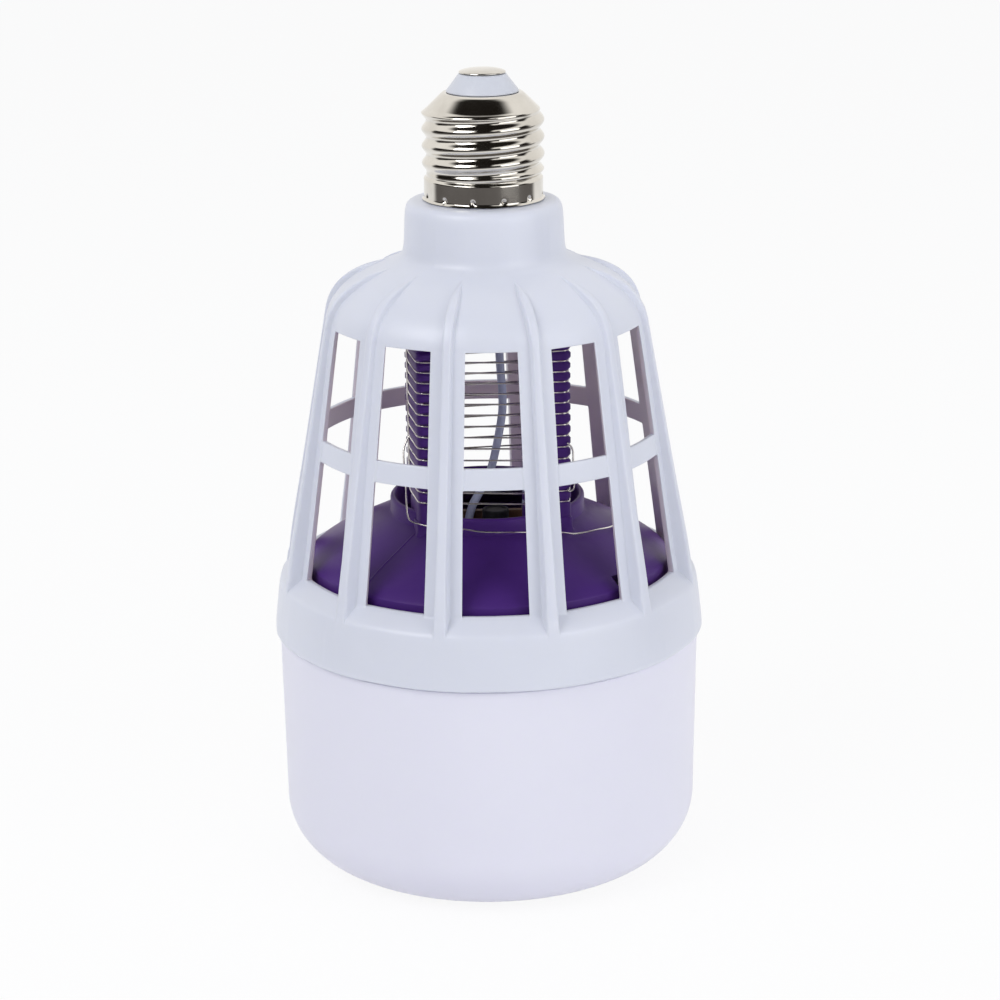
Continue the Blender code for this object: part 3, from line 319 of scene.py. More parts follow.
white_plastic, nodes, links, shader = moulding_finish("white_moulding_finish", (0.665, 0.685, 0.765),
                                                      (0.70, 0.72, 0.80), 0.34)
# painted bounce light: a warm mauve tint on the inward-facing faces stands in for light reflected from the violet
# base and posts
paint_inner_bounce_light(nodes, links, shader, (1.14, 0.95, 0.92))
shader.inputs["Subsurface Weight"].default_value = 0.12
shader.inputs["Subsurface Radius"].default_value = (0.003, 0.003, 0.004)
shader.inputs["Subsurface Scale"].default_value = 0.5
violet_plastic, _, _, shader = moulding_finish("violet_moulding_finish", (0.048, 0.012, 0.150),
                                               (0.062, 0.016, 0.190), 0.44)
shader.inputs["Specular IOR Level"].default_value = 0.32
shader.inputs["Specular Tint"].default_value = (1.0, 0.78, 1.0, 1.0)
shader.inputs["Sheen Weight"].default_value = 0.1
shader.inputs["Sheen Tint"].default_value = (1.0, 0.62, 0.9, 1.0)
milky_plastic, _, _, shader = moulding_finish("milky_diffuser_finish", (0.825, 0.81, 0.975), (0.845, 0.83, 0.99),
                                              0.36, grain=0.000004)
shader.inputs["Subsurface Weight"].default_value = 0.35
shader.inputs["Subsurface Radius"].default_value = (0.012, 0.011, 0.014)
shader.inputs["Subsurface Scale"].default_value = 0.6
insulator_finish, _, _, _ = moulding_finish("cap_insulator_finish", (0.59, 0.61, 0.68), (0.63, 0.65, 0.71), 0.3)


def plated_metal(name, low, high, roughness):
    """Plated or drawn metal: faint cloudiness of colour and gloss, and hair-fine rubbing marks."""
    finish, nodes, links, shader = new_finish(name, high, roughness, 1.0)
    cloud = noise(nodes, links, 160.0, 4.0)
    links.new(ramp(nodes, links, cloud, low, high), shader.inputs["Base Color"])
    links.new(spread(nodes, links, cloud, roughness * 0.7, roughness * 1.4), shader.inputs["Roughness"])
    marks = noise(nodes, links, 900.0, 3.0, stretch=(1, 1, 9))
    relief(nodes, links, shader, ((marks, 0.0000012),))
    return finish


nickel = plated_metal("nickel_finish", (0.63, 0.60, 0.55), (0.75, 0.72, 0.665), 0.09)
steel_wire = plated_metal("grid_wire_finish", (0.74, 0.72, 0.68), (0.88, 0.86, 0.82), 0.15)
aluminium = plated_metal("aluminium_finish", (0.70, 0.70, 0.71), (0.80, 0.80, 0.81), 0.35)


def plain_finish(name, low, high, roughness, scale=300.0):
    """Small inner parts: a mottled colour and a fine relief."""
    finish, nodes, links, shader = new_finish(name, high, roughness)
    mottle = noise(nodes, links, scale, 4.0)
    links.new(ramp(nodes, links, mottle, low, high), shader.inputs["Base Color"])
    relief(nodes, links, shader, ((mottle, 0.000006),))
    return finish


lead_sleeve = plain_finish("lead_sleeve_finish", (0.50, 0.54, 0.74), (0.58, 0.62, 0.82), 0.42, 500.0)
phenolic = plain_finish("phenolic_board_finish", (0.085, 0.036, 0.014), (0.14, 0.06, 0.024), 0.55, 700.0)
black_sleeve = plain_finish("black_sleeve_finish", (0.004, 0.004, 0.006), (0.009, 0.009, 0.012), 0.62)
winding_tape = plain_finish("winding_tape_finish", (0.62, 0.45, 0.05), (0.72, 0.55, 0.09), 0.4, 250.0)
film_resin = plain_finish("film_resin_finish", (0.22, 0.03, 0.015), (0.32, 0.05, 0.025), 0.3)
ferrite = plain_finish("ferrite_finish", (0.04, 0.04, 0.045), (0.06, 0.06, 0.065), 0.6)
board_white = plain_finish("white_board_finish", (0.80, 0.81, 0.80), (0.87, 0.88, 0.87), 0.45)
phosphor = plain_finish("chip_phosphor_finish", (0.75, 0.58, 0.08), (0.86, 0.72, 0.14), 0.4, 1500.0)
violet_lens = plain_finish("ultraviolet_lens_finish", (0.24, 0.20, 0.36), (0.33, 0.28, 0.45), 0.18)


# ---------------------------------------------------------------- cage
def cage_radius(z):
    """Outer radius of the window wall: a cone."""
    return SILL_RADIUS - (z - SILL_Z) * TAPER


def cage_rows():
    """Rows of the cage from the cap's seat to the band's foot.

    Each row has its outer skin, its bar face, its rib crest and its inner skin as (r, z), and the rib's half width.
    The dome is a quadratic curve, and so is the crest above it; below, skin, bar face and crest are cones.
    """
    top = NECK_TOP_Z
    neck = np.array([(11.6, 156.5, 9.8, 156.5), (11.6, top + 0.5, 9.8, top + 0.2),
                     (11.75, top + 0.03, 9.8, top - 0.6), (14.6, top - 0.02, 12.0, top - 1.6),
                     (15.75, top - 0.22, 14.4, top - 1.9),
                     (16.5, top - 0.8, 15.1, top - 2.3), (16.92, top - 1.8, 15.3, top - 3.0),
                     (17.06, top - 4.0, 15.35, top - 5.1), (17.16, 141.0, 15.4, 140.0), (17.3, 138.2, 15.4, 137.2),
                     (17.5, 136.8, 15.42, 135.9), (17.98, 135.75, 15.7, 134.7), (18.85, 134.97, 16.7, 133.9)])
    shares = np.array([0.0, 0.06, 0.13, 0.21, 0.31, 0.43, 0.56, 0.69, 0.81, 0.91, 1.0])
    edge = cage_radius(DOME_EDGE_Z)
    dome = bezier((19.95, DOME_TOP_Z - 0.1), (edge - 1.4, DOME_TOP_Z - 4.65), (edge, DOME_EDGE_Z), shares)
    slope = np.gradient(dome, axis=0)
    normal = np.stack([-slope[:, 1], slope[:, 0]], -1)
    normal /= np.linalg.norm(normal, axis=1)[:, None]
    dome_inner = dome - WALL * normal
    rise = np.clip((shares - shares[1]) / (1 - shares[1]), 0, 1)
    dome_crest = bezier(dome[1], (edge - 0.4, DOME_TOP_Z - 2.9), (edge + 1.22, DOME_EDGE_Z), rise)
    dome_crest[0] = dome[0]
    above_sill, above_band = 68.2, 97.8
    cone_z = np.array([122.45, UPPER_TOP_Z, 121.5, 114.0, 106.0, 98.85, UPPER_FOOT_Z, above_band, 94.2, LOWER_TOP_Z,
                       93.15, 85.5, 77.0, 71.0, above_sill, SILL_Z])
    sunk = 0.12 * np.isin(cone_z, (UPPER_FOOT_Z, above_band, above_sill, SILL_Z))
    skin = np.stack([cage_radius(cone_z), cone_z], -1)
    proud = np.interp(cone_z, (SILL_Z, 72.0, 98.6, 121.0, UPPER_TOP_Z), (0.5, 0.3, 0.28, 0.2, 0.0))
    face = np.stack([cage_radius(cone_z) + proud, cone_z - 0.14 * (cone_z == SILL_Z)], -1)
    crest_bow = np.interp(cone_z, (SILL_Z, 71.0, 77.0, 88.0), (0.0, 0.2, 0.2, 0.0))
    crest = np.stack([45.5 + crest_bow - (cone_z - SILL_Z) * 0.1788, cone_z], -1)
    inner = np.stack([cage_radius(cone_z) - WALL, cone_z - sunk], -1)
    foot = np.array([(42.45, 67.36, 45.66, 66.9, 40.4, 66.3), (43.3, 66.7, 45.9, 66.3, 41.1, 65.4),
                     (44.5, 65.72, 46.06, 65.5, 42.5, 64.3), (45.35, 65.0, 46.12, 64.8, 43.8, 63.3),
                     (45.95, 64.45, 46.17, 64.35, 44.7, 62.6), (46.22, 63.8, 46.22, 63.8, 45.15, 61.9),
                     (46.42, 62.6, 46.42, 62.6, 45.3, 61.0), (47.2, 56.2, 47.2, 56.2, 45.3, 56.2),
                     (47.42, 53.5, 47.42, 53.5, 45.3, 53.5),
                     (47.4, 52.95, 47.4, 52.95, 45.3, 53.0), (47.15, SEAM_Z, 47.15, SEAM_Z, 45.3, SEAM_Z)])
    foot_face = foot[:, :2].copy()
    foot_face[:2] = [(42.8, 67.1), (43.36, 66.66)]
    skins = np.vstack([neck[:, :2], dome, skin, foot[:, :2]])
    faces = np.vstack([neck[:, :2], dome, face, foot_face])
    crests = np.vstack([neck[:, :2], dome_crest, crest, foot[:, 2:4]])
    inners = np.vstack([neck[:, 2:], dome_inner, inner, foot[:, 4:]])
    half_dome = 0.12 + 0.73 * np.clip(rise / 0.3, 0, 1) ** 0.8
    half_cone = np.interp(cone_z, (SILL_Z, 72.6, 92.0, DOME_EDGE_Z), (1.22, 1.02, 0.92, 0.8))
    halves = np.concatenate([np.full(len(neck), 0.12), half_dome, half_cone, np.full(len(foot), 1.25)])
    return skins, faces, crests, inners, halves


def cage_shell():
    """The cage as a wall between two skins, its columns following the ribs and the windows' edges.

    In each half of a bar the columns run from the crest's edge over the flank to the bar's face, the window's
    edge, the sunk band and the window's middle; the windows are cells left out.
    """
    skins, faces, crests, inners, halves = cage_rows()
    z = skins[:, 1]
    r = skins[:, 0]
    borders = (SILL_Z, LOWER_TOP_Z, UPPER_FOOT_Z, UPPER_TOP_Z)
    window = np.radians(np.interp(z, borders, (9.42, 9.42, 9.12, 8.82)))
    edge = HALF_BAR - window
    inner_r = inners[:, 0]
    inner_edge = HALF_BAR - np.arcsin(np.minimum((r * np.sin(window) + 0.5) / inner_r, 0.9))
    height = np.linalg.norm(crests - faces, axis=1)
    safe = np.maximum(height, 1e-3)
    high = 1 - np.minimum(0.2 / safe, 0.4)
    low = np.minimum(0.2 / safe, 0.3)
    draft = np.minimum(0.3, 0.3 * height + 0.04)
    zero, one = np.zeros_like(r), np.ones_like(r)
    middle = np.full_like(r, HALF_BAR)
    offsets = np.stack([halves / r, (halves + 0.1 * draft) / r, (halves + 0.88 * draft) / r, (halves + draft) / r,
                        (halves + draft + 0.24) / r, edge - 0.3 / r, edge, edge + 0.07 / r, edge + 0.5 / r,
                        middle], 1)
    edge_step = 6
    last_step = offsets.shape[1] - 1
    lift = np.stack([one, high, low] + [zero] * (last_step - 2), 1)
    even = (np.arange(edge_step) + 0.5) / (edge_step - 0.5)
    inner_offsets = np.stack([(inner_edge - 0.4 / inner_r) * share for share in even]
                             + [inner_edge, inner_edge + 0.1 / inner_r, inner_edge + 0.5 / inner_r, middle], 1)
    steps = np.concatenate([np.arange(last_step, -1, -1), np.arange(last_step)])
    side = np.concatenate([-np.ones(last_step + 1), np.ones(last_step)])
    bars = (2 * np.arange(BARS) + 1) * HALF_BAR

    def around(positions, turns):
        """Spread the half-bar columns round all bars: (r, z) positions and angles to points."""
        angle = (bars[None, :, None] + (turns[:, steps] * side)[:, None, :]).reshape(len(r), -1)
        radius = np.tile(positions[..., 0], (1, BARS))
        level = np.tile(positions[..., 1], (1, BARS))
        return np.stack([radius * np.sin(angle), -radius * np.cos(angle), level], -1)

    base = np.where((steps <= edge_step)[None, :, None], faces[:, None, :], skins[:, None, :])
    outer = around(base + lift[:, steps, None] * (crests - faces)[:, None, :], offsets)
    inner = around(np.repeat(inners[:, None, :], len(steps), 1), inner_offsets)
    gap = np.linalg.norm(inner - outer, axis=-1, keepdims=True)
    near = outer + (inner - outer) * np.minimum(0.3 / gap, 0.4)
    far = inner + (outer - inner) * np.minimum(0.42 / gap, 0.4)
    top = z[:-1] - 0.01
    in_window = ((top <= UPPER_TOP_Z) & (top > UPPER_FOOT_Z)) | ((top <= LOWER_TOP_Z) & (top > SILL_Z))
    open_cols = np.tile(np.minimum(steps, np.roll(steps, -1)) >= edge_step, BARS)
    solid = ~(in_window[:, None] & open_cols[None, :])
    return layered_shell(np.stack([outer, near, far, inner]), solid)


make_piece("cage_housing_detail", [cage_shell()], white_plastic, ("cage_housing",),
           subdivide=1)


# ---------------------------------------------------------------- diffuser
def arc(centre, radius, start, stop, count):
    """Points on a circle between two angles in degrees."""
    angle = np.radians(np.linspace(start, stop, count))
    return np.stack([centre[0] + radius * np.cos(angle), centre[1] + radius * np.sin(angle)], -1)


def diffuser_profile():
    """Milky cup: flat bottom, 13.8 mm corner, slightly drafted wall and a spigot inside the band."""
    outer = np.vstack([(44.95, 58.25), (44.95, 52.4), (46.0, 52.4), (46.25, 52.2), (46.28, 51.6),
                       arc((31.9, 13.8), 13.8, 0, -90, 40), (20.0, 0.0), (0.0, 0.0)])
    inner = np.vstack([(0.0, 1.4), arc((31.8, 13.8), 12.4, -90, 0, 16), (44.6, 50.0), (43.5, 52.0), (43.5, 58.25)])
    return np.vstack([outer, inner])


make_piece("diffuser_detail", [turned(diffuser_profile(), 240)], milky_plastic, ("diffuser",))


# ---------------------------------------------------------------- screw cap
def shell_surface():
    """Nickelled shell: a coned shoulder, a right-hand thread as a raised cosine of height and angle, then a skirt.

    r = root + depth * wave(2 pi (z / pitch - angle / turn)); the skirt has twelve punched dimples, each a small
    bell-shaped hollow, and its rim flares out and is a little wavy.
    """
    cols, dimples = 288, 12
    angle = np.arange(cols) * 2 * np.pi / cols
    shoulder_z, skirt_z, crest_z = 167.05, 152.93, 163.73
    thread_root, thread_depth, skirt_step = 12.12, 0.96, 0.62
    skirt_radius, dimple_z, first_dimple = 12.75, SHELL_RIM_Z + 0.95, math.radians(-12.3)
    cone = np.array([(7.8, 170.5), (8.15, 170.52), (8.55, 170.42), (9.0, 170.08), (9.6, 169.5), (10.4, 168.72),
                     (11.2, 167.94), (11.7, 167.45), (12.0, 167.16)])
    body_z = np.concatenate([np.linspace(shoulder_z, skirt_z, 112), np.linspace(skirt_z, SHELL_RIM_Z, 46)[1:]])
    z = np.concatenate([cone[:, 1], body_z])
    root = np.concatenate([cone[:, 0], np.full(len(body_z), thread_root)])
    skirt = np.clip((skirt_z + 0.2 - z) / 0.9, 0, 1)
    root = root + skirt_step * (skirt * skirt * (3 - 2 * skirt))
    flare = np.clip((SHELL_RIM_Z + 0.55 - z) / 0.55, 0, 1)
    phase = (z[:, None] - crest_z) / THREAD_PITCH - angle[None, :] / (2 * np.pi)
    wave = (0.5 + 0.5 * np.cos(2 * np.pi * phase)) ** 0.9
    fade = np.clip(np.minimum((z - skirt_z) / 1.2, (167.1 - z) / 0.8), 0, 1)
    radius = root[:, None] + thread_depth * wave * fade[:, None]
    radius = radius + (0.36 + 0.05 * np.sin(dimples * angle + 0.6))[None, :] * (flare ** 1.5)[:, None]
    upward = (z[:, None] - dimple_z) / 0.5
    for k in range(dimples):
        centre = first_dimple + 2 * math.pi * k / dimples
        across = ((angle - centre + np.pi) % (2 * np.pi) - np.pi)[None, :] * skirt_radius / 0.38
        radius = radius - 0.5 * np.exp(-(across ** 2 + upward ** 2))
    points = np.stack([radius * np.sin(angle), -radius * np.cos(angle), np.repeat(z[:, None], cols, 1)], -1)
    inner = [(12.6, SHELL_RIM_Z), (12.1, SHELL_RIM_Z + 0.5), (11.9, 150.2), (11.8, 154.0), (11.8, 166.4),
             (9.3, 168.9), (7.9, 169.8), (7.4, 170.1), (7.4, 170.5)]
    inside, _ = turned(inner, cols, closed=False)
    all_rows = np.concatenate([points, inside, points[:1]])
    return all_rows, grid_quads(len(all_rows), cols)


make_piece("screw_shell_detail", [shell_surface()], nickel, ("screw_shell",), sharp=60)

insulator_profile = [(1.6, 174.4), (4.75, 174.42), (5.0, 174.36), (5.15, 174.2), (7.6, 170.95), (7.72, 170.75),
                     (7.7, 170.6), (6.9, 170.6), (6.8, 166.6), (1.6, 166.6)]
make_piece("cap_insulator_detail", [turned(insulator_profile, 120)], insulator_finish,
           ("cap_insulator",))

contact_profile = np.vstack([(0.0, 175.53), (0.8, 175.525), bezier((0.8, 175.525), (3.6, 175.45), (4.85, 174.9),
                                                                   np.linspace(0.08, 1, 14)),
                             (4.97, 174.8), (5.0, 174.7), (4.95, 174.6), (4.8, 174.56), (1.2, 174.56),
                             (1.2, 167.2), (0.0, 167.2)])
make_piece("centre_contact_detail", [turned(contact_profile, 120, closed=False)], nickel,
           ("centre_contact",))


# ---------------------------------------------------------------- violet base
def post_frame(index):
    """Corner, direction along the face and outward normal of one post, turned a quarter from the one before."""
    turn = index * math.pi / 2
    c, s = math.cos(turn), math.sin(turn)
    spin = np.array([(c, -s), (s, c)])
    corner = spin @ np.array(POST_CORNER)
    along = spin @ np.array([math.sin(POST_TILT), -math.cos(POST_TILT)])
    normal = spin @ np.array([-math.cos(POST_TILT), -math.sin(POST_TILT)])
    return corner, along, normal


def base_shell():
    """Violet base as a wall between two turned skins: rounded collar, fillet, cone, crisp lip and skirt.

    z(r, a) = cone(r) + 0.13 exp(-(r (a - 315 deg) / 0.17)^2) is the thin weld line. Cells of the lip between
    42.5 and 51.5 degrees are left out for the notch.
    """
    weld = math.radians(315)
    even = np.arange(360) * 2 * np.pi / 360
    fine = weld + np.radians(np.array([-0.7, -0.5, -0.35, -0.22, -0.1, 0.1, 0.22, 0.35, 0.5, 0.7]))
    angle = np.union1d(even, fine)
    cols = len(angle)
    rim = arc((20.6, 81.68), 0.7, 180, 0, 9)
    skin = np.vstack([rim, (21.3, 80.0), (21.3, 79.2), (21.36, 78.9), (21.55, 78.75), (22.0, 78.62), (24.0, 77.6),
                      (27.0, 76.05), (31.0, 74.1), (34.0, 72.6), (36.9, 70.93), (38.0, 70.15), (39.0, 69.3),
                      (39.5, 68.86), (39.66, 68.68), (39.7, 68.5), (39.7, 65.2), (43.2, 63.4), (43.2, 60.1)])
    inner = np.vstack([np.stack([np.full(9, 19.88), np.linspace(81.6, 80.6, 9)], -1), (19.88, 79.0), (19.88, 77.8),
                       (19.88, 77.2), (19.95, 76.9), (21.0, 76.8), (23.3, 76.0), (26.2, 74.45), (30.2, 72.5),
                       (33.1, 71.0), (35.9, 69.4), (36.95, 68.7), (37.5, 68.2), (37.8, 67.6), (38.0, 67.2),
                       (38.1, 66.6), (38.1, 64.0), (41.6, 61.9), (41.6, 60.1)])
    layers = []
    for profile in (skin, inner):
        r = np.repeat(profile[:, :1], cols, 1)
        z = np.repeat(profile[:, 1:], cols, 1)
        if profile is skin:
            on_cone = (r > 23.5) & (r < 39.6) & (z > 68)
            away = ((angle - weld + np.pi) % (2 * np.pi) - np.pi)[None, :] * r
            z = z + 0.13 * on_cone * np.exp(-(away / 0.17) ** 2)
        layers.append(np.stack([r * np.sin(angle), -r * np.cos(angle), z], -1))
    following = np.degrees(np.append(angle[1:], 2 * np.pi))
    notch_cols = (np.degrees(angle) > 42.5) & (following < 51.5)
    below_collar = np.arange(len(skin) - 1) > 12
    notch_rows = (skin[:-1, 0] > 35.5) & (skin[1:, 1] > 64) & below_collar
    solid = ~(notch_rows[:, None] & notch_cols[None, :])
    return layered_shell(np.stack(layers), solid)


def post_foot(index):
    """The socket round the outer end of one post: a low block with a rounded top and a small fillet below."""
    corner, along, normal = post_frame(index)
    spot = corner - 1.75 * along - POST_DEPTH / 2 * normal
    ground = 78.0
    rows = [(1.0, 80.9), (0.35, 80.85), (0.1, 80.7), (0.0, 80.4), (0.0, ground + 0.7), (-0.12, ground + 0.3),
            (-0.4, ground - 0.1), (-0.4, ground - 2.4)]
    return block(spot, 2.5, POST_DEPTH / 2 + 0.5, 0.9, rows, math.atan2(along[1], along[0]))


make_piece("grid_base_detail", [base_shell()] + [post_foot(i) for i in range(4)], violet_plastic,
           ("grid_base",))


# ---------------------------------------------------------------- grid frame
def wire_levels(index):
    """Heights of the wires at one post: an even pitch with a slow bow up in the middle."""
    k = np.arange(GRID_LEVELS)
    bow = 0.5 * np.sin(np.pi * np.clip((k - 3.5) / 10, 0, 1))
    return GRID_FOOT_Z + POST_STEPS[index] + k * GRID_PITCH + bow


def splay(z):
    """How far the post's outer end leans out below the ring."""
    return 0.55 * np.clip((np.asarray(z, float) - 113.5) / 11, 0, 1) ** 1.6


def post_surface(index):
    """A stack of cushions: a rounded rectangle whose outline swells between the wires.

    With u the distance to the next wire in pitches, the outline is offset by floor + rise * smooth(u / 0.3), so it
    is deepest at each wire and flat between two; the post's end swells most, its outer face hardly.
    """
    corner, along, normal = post_frame(index)
    levels = wire_levels(index)
    z = np.arange(76.4, RING_Z + 0.8, GRID_PITCH / 16)
    u = np.clip(np.abs(z[:, None] - levels[None, :]).min(axis=1) / GRID_PITCH / 0.3, 0, 1)
    swell = u * (1.6 - 0.6 * u)
    end_offset = -0.4 + 1.02 * swell
    face_offset = -0.26 + 0.34 * swell
    rounding = 1.1
    corners = []
    for centre, start in (((rounding, -rounding), 90), ((rounding, rounding - POST_DEPTH), 180),
                          ((POST_LENGTH - rounding, rounding - POST_DEPTH), 270),
                          ((POST_LENGTH - rounding, -rounding), 0)):
        a = np.radians(np.linspace(start, start + 90, 7))
        corners.append(np.stack([np.full(7, centre[0]), np.full(7, centre[1]), np.cos(a), np.sin(a)], -1))
    outline = np.vstack(corners)
    t = outline[:, 0] + outline[:, 2] * (rounding + end_offset[:, None])
    t = t + splay(z)[:, None] * (t / POST_LENGTH)
    n = outline[:, 1] + outline[:, 3] * (rounding + face_offset[:, None])
    flat = corner + (t[..., None] - POST_LENGTH) * along + n[..., None] * normal
    points = np.concatenate([flat, np.broadcast_to(z[:, None, None], flat.shape[:2] + (1,))], -1)
    return capped(points[::-1])


ring_profile = [(14.9, 135.6), (14.9, 127.9), (23.4, 127.8), (23.6, 127.6), (23.6, 125.6), (23.4, 125.4),
                (12.2, 125.4), (12.0, 125.6), (12.0, 127.6), (13.3, 127.9), (13.3, 135.6)]
make_piece("grid_frame_detail", [post_surface(i) for i in range(4)] + [turned(ring_profile, 120)], violet_plastic,
           ("grid_frame",), sharp=55)


# ---------------------------------------------------------------- windings
def winding_route(first, seed):
    """One winding: level on the front and climbing on the other three sides, along each post's face to the next."""
    wobble = np.random.default_rng(seed)
    corners = []
    for turn in range(first, GRID_LEVELS - 2, 2):
        for index, climb in ((0, 0), (3, 0), (2, 1), (1, 2)):
            corner, along, _ = post_frame(index)
            z = wire_levels(index)[turn + climb] + wobble.uniform(-0.05, 0.05)
            corners.append((corner + splay(z) * along, along, z))
    corner, along, normal = post_frame(1)
    z = wire_levels(1)[first]
    stops = [(*(corner - normal * 2.4 + along * 0.5), z + 0.5), (*(corner - normal * 1.2 + along * 0.35), z + 0.1),
             (*corner, z), (*(corner - along * POST_LENGTH), z)]
    for here, after in zip(corners, corners[1:] + corners[-1:]):
        (corner, along, z), next_z = here, after[2]
        stops += [(*corner, z), (*(corner - along * POST_LENGTH), z + 0.28 * (next_z - z))]
    return np.array(stops)


def bent_wire(stops, bend):
    """The stops joined by straight runs, with a small round bend cut into each corner."""
    path = [stops[0]]
    for a, b, c in zip(stops[:-2], stops[1:-1], stops[2:]):
        back, ahead = a - b, c - b
        cut = min(bend, 0.45 * np.linalg.norm(back), 0.45 * np.linalg.norm(ahead))
        start = b + back / np.linalg.norm(back) * cut
        end = b + ahead / np.linalg.norm(ahead) * cut
        path.extend(bezier(start, b, end, np.linspace(0, 1, 5)))
    path.append(stops[-1])
    return np.array(path)


slack_end = smooth_path([(-16.6, -8.3, 98.2), (-17.3, -8.6, 97.2), (-18.1, -9.5, 95.5), (-18.3, -10.5, 93.8),
                         (-18.1, -12.2, 90.7), (-17.9, -14.5, 88.0), (-17.9, -16.0, 86.5), (-17.86, -17.3, 85.0),
                         (-17.74, -18.3, 83.1), (-17.24, -18.9, 81.9), (-15.76, -19.3, 81.3), (-13.3, -20.2, 80.9),
                         (-9.6, -21.7, 80.8), (-5.7, -22.6, 80.7), (-2.3, -22.95, 80.25), (2.0, -22.95, 80.0),
                         (7.4, -22.0, 79.6), (11.5, -20.8, 79.0), (15.4, -19.3, 78.5), (17.6, -18.4, 77.9),
                         (19.9, -16.8, 77.6), (23.6, -13.0, 77.1), (26.6, -8.6, 76.3), (28.4, -3.6, 75.8),
                         (29.0, 1.5, 74.9)], 130)
side_loop = smooth_path([(16.6, -16.3, 97.6), (17.4, -15.7, 96.7), (17.9, -15.3, 95.4), (17.95, -15.0, 93.4),
                         (17.95, -15.0, 90.0), (18.1, -15.2, 87.7), (17.7, -15.7, 86.9), (16.9, -16.3, 86.75)], 50)
WIRE_RADIUS = 0.2
ground = [tube(path, WIRE_RADIUS, 8) for path in (bent_wire(winding_route(0, 5), 1.7), slack_end, side_loop)]
make_piece("ground_winding_detail", ground, steel_wire, ("ground_winding",), sharp=0)
live = [tube(bent_wire(winding_route(1, 9), 1.7), WIRE_RADIUS, 8)]
make_piece("high_voltage_winding_detail", live, steel_wire, ("high_voltage_winding",), sharp=0)


# ---------------------------------------------------------------- leads
LEAD_RADIUS = 0.9
live_route = smooth_path([(0.0, 0.0, 166.83), (0.3, 0.0, 158.8), (2.4, 0.4, 138.5), (3.0, 0.3, 114.0),
                          (3.55, 0.0, 104.55), (3.2, -0.3, 98.55), (0.9, -2.6, 88.7), (-1.9, -5.7, 83.9),
                          (-3.6, -6.2, 80.7), (-5.3, -6.0, 73.7)], 120)
make_piece("live_lead_detail", [tube(live_route, LEAD_RADIUS, 20, (0.9, 0.4, 0.0))], lead_sleeve,
           ("live_lead",), sharp=0)


# ---------------------------------------------------------------- driver
board_rows = [(0.3, 79.45), (0.08, 79.42), (0.0, 79.3), (0.0, 60.2), (0.1, 60.06)]
make_piece("driver_board_detail", [block((0.0, -4.0), 19.0, 0.8, 0.3, board_rows)], phenolic,
           ("driver_board",))
can_profile = [(0.0, 80.55), (2.2, 80.55), (2.32, 80.75), (2.55, 80.9), (2.8, 80.8), (2.9, 80.5), (2.9, 67.3),
               (2.75, 67.0), (0.0, 67.0)]
points, quads = turned(can_profile, 48, closed=False)
make_piece("smoothing_capacitor_detail", [(points + np.array([1.5, -8.0, 0.0]), quads)], black_sleeve,
           ("smoothing_capacitor",))


# ---------------------------------------------------------------- carried-over nodes
carried = {"neutral_lead": lead_sleeve, "heat_plate": aluminium, "lighting_board": board_white,
           "ultraviolet_board": board_white, "high_voltage_transformer": winding_tape,
           "film_capacitor": film_resin, "rectifier": black_sleeve, "choke": ferrite}
for node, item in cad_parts.items():
    finish = carried.get(node)
    if node.startswith("lighting_chip"):
        finish = phosphor
    elif node.startswith("ultraviolet_chip"):
        finish = violet_lens
    elif node.startswith("board_screw"):
        finish = steel_wire
    if finish is not None:
        for place in item.material_slots:
            place.material = finish


# ---------------------------------------------------------------- floor, camera and light
ROOM_COLOUR = (0.012, 0.010, 0.008, 1)
DIM_FLOOR_COLOUR = (0.07, 0.06, 0.055, 1)


def number(nodes, links, operation, *values):
    """A math node fed by sockets or plain numbers."""
    step = nodes.new("ShaderNodeMath")
    step.operation = operation
    for socket, value in zip(step.inputs, values):
        if isinstance(value, (int, float)):
            socket.default_value = value
        else:
            links.new(value, socket)
    return step.outputs[0]


def between(nodes, links, value, start, stop):
    """0 before the first limit, 1 past the second, smooth between them."""
    step = nodes.new("ShaderNodeMapRange")
    step.interpolation_type = "SMOOTHSTEP"
    step.inputs["From Min"].default_value = start
    step.inputs["From Max"].default_value = stop
    links.new(value, step.inputs["Value"])
    return step.outputs["Result"]


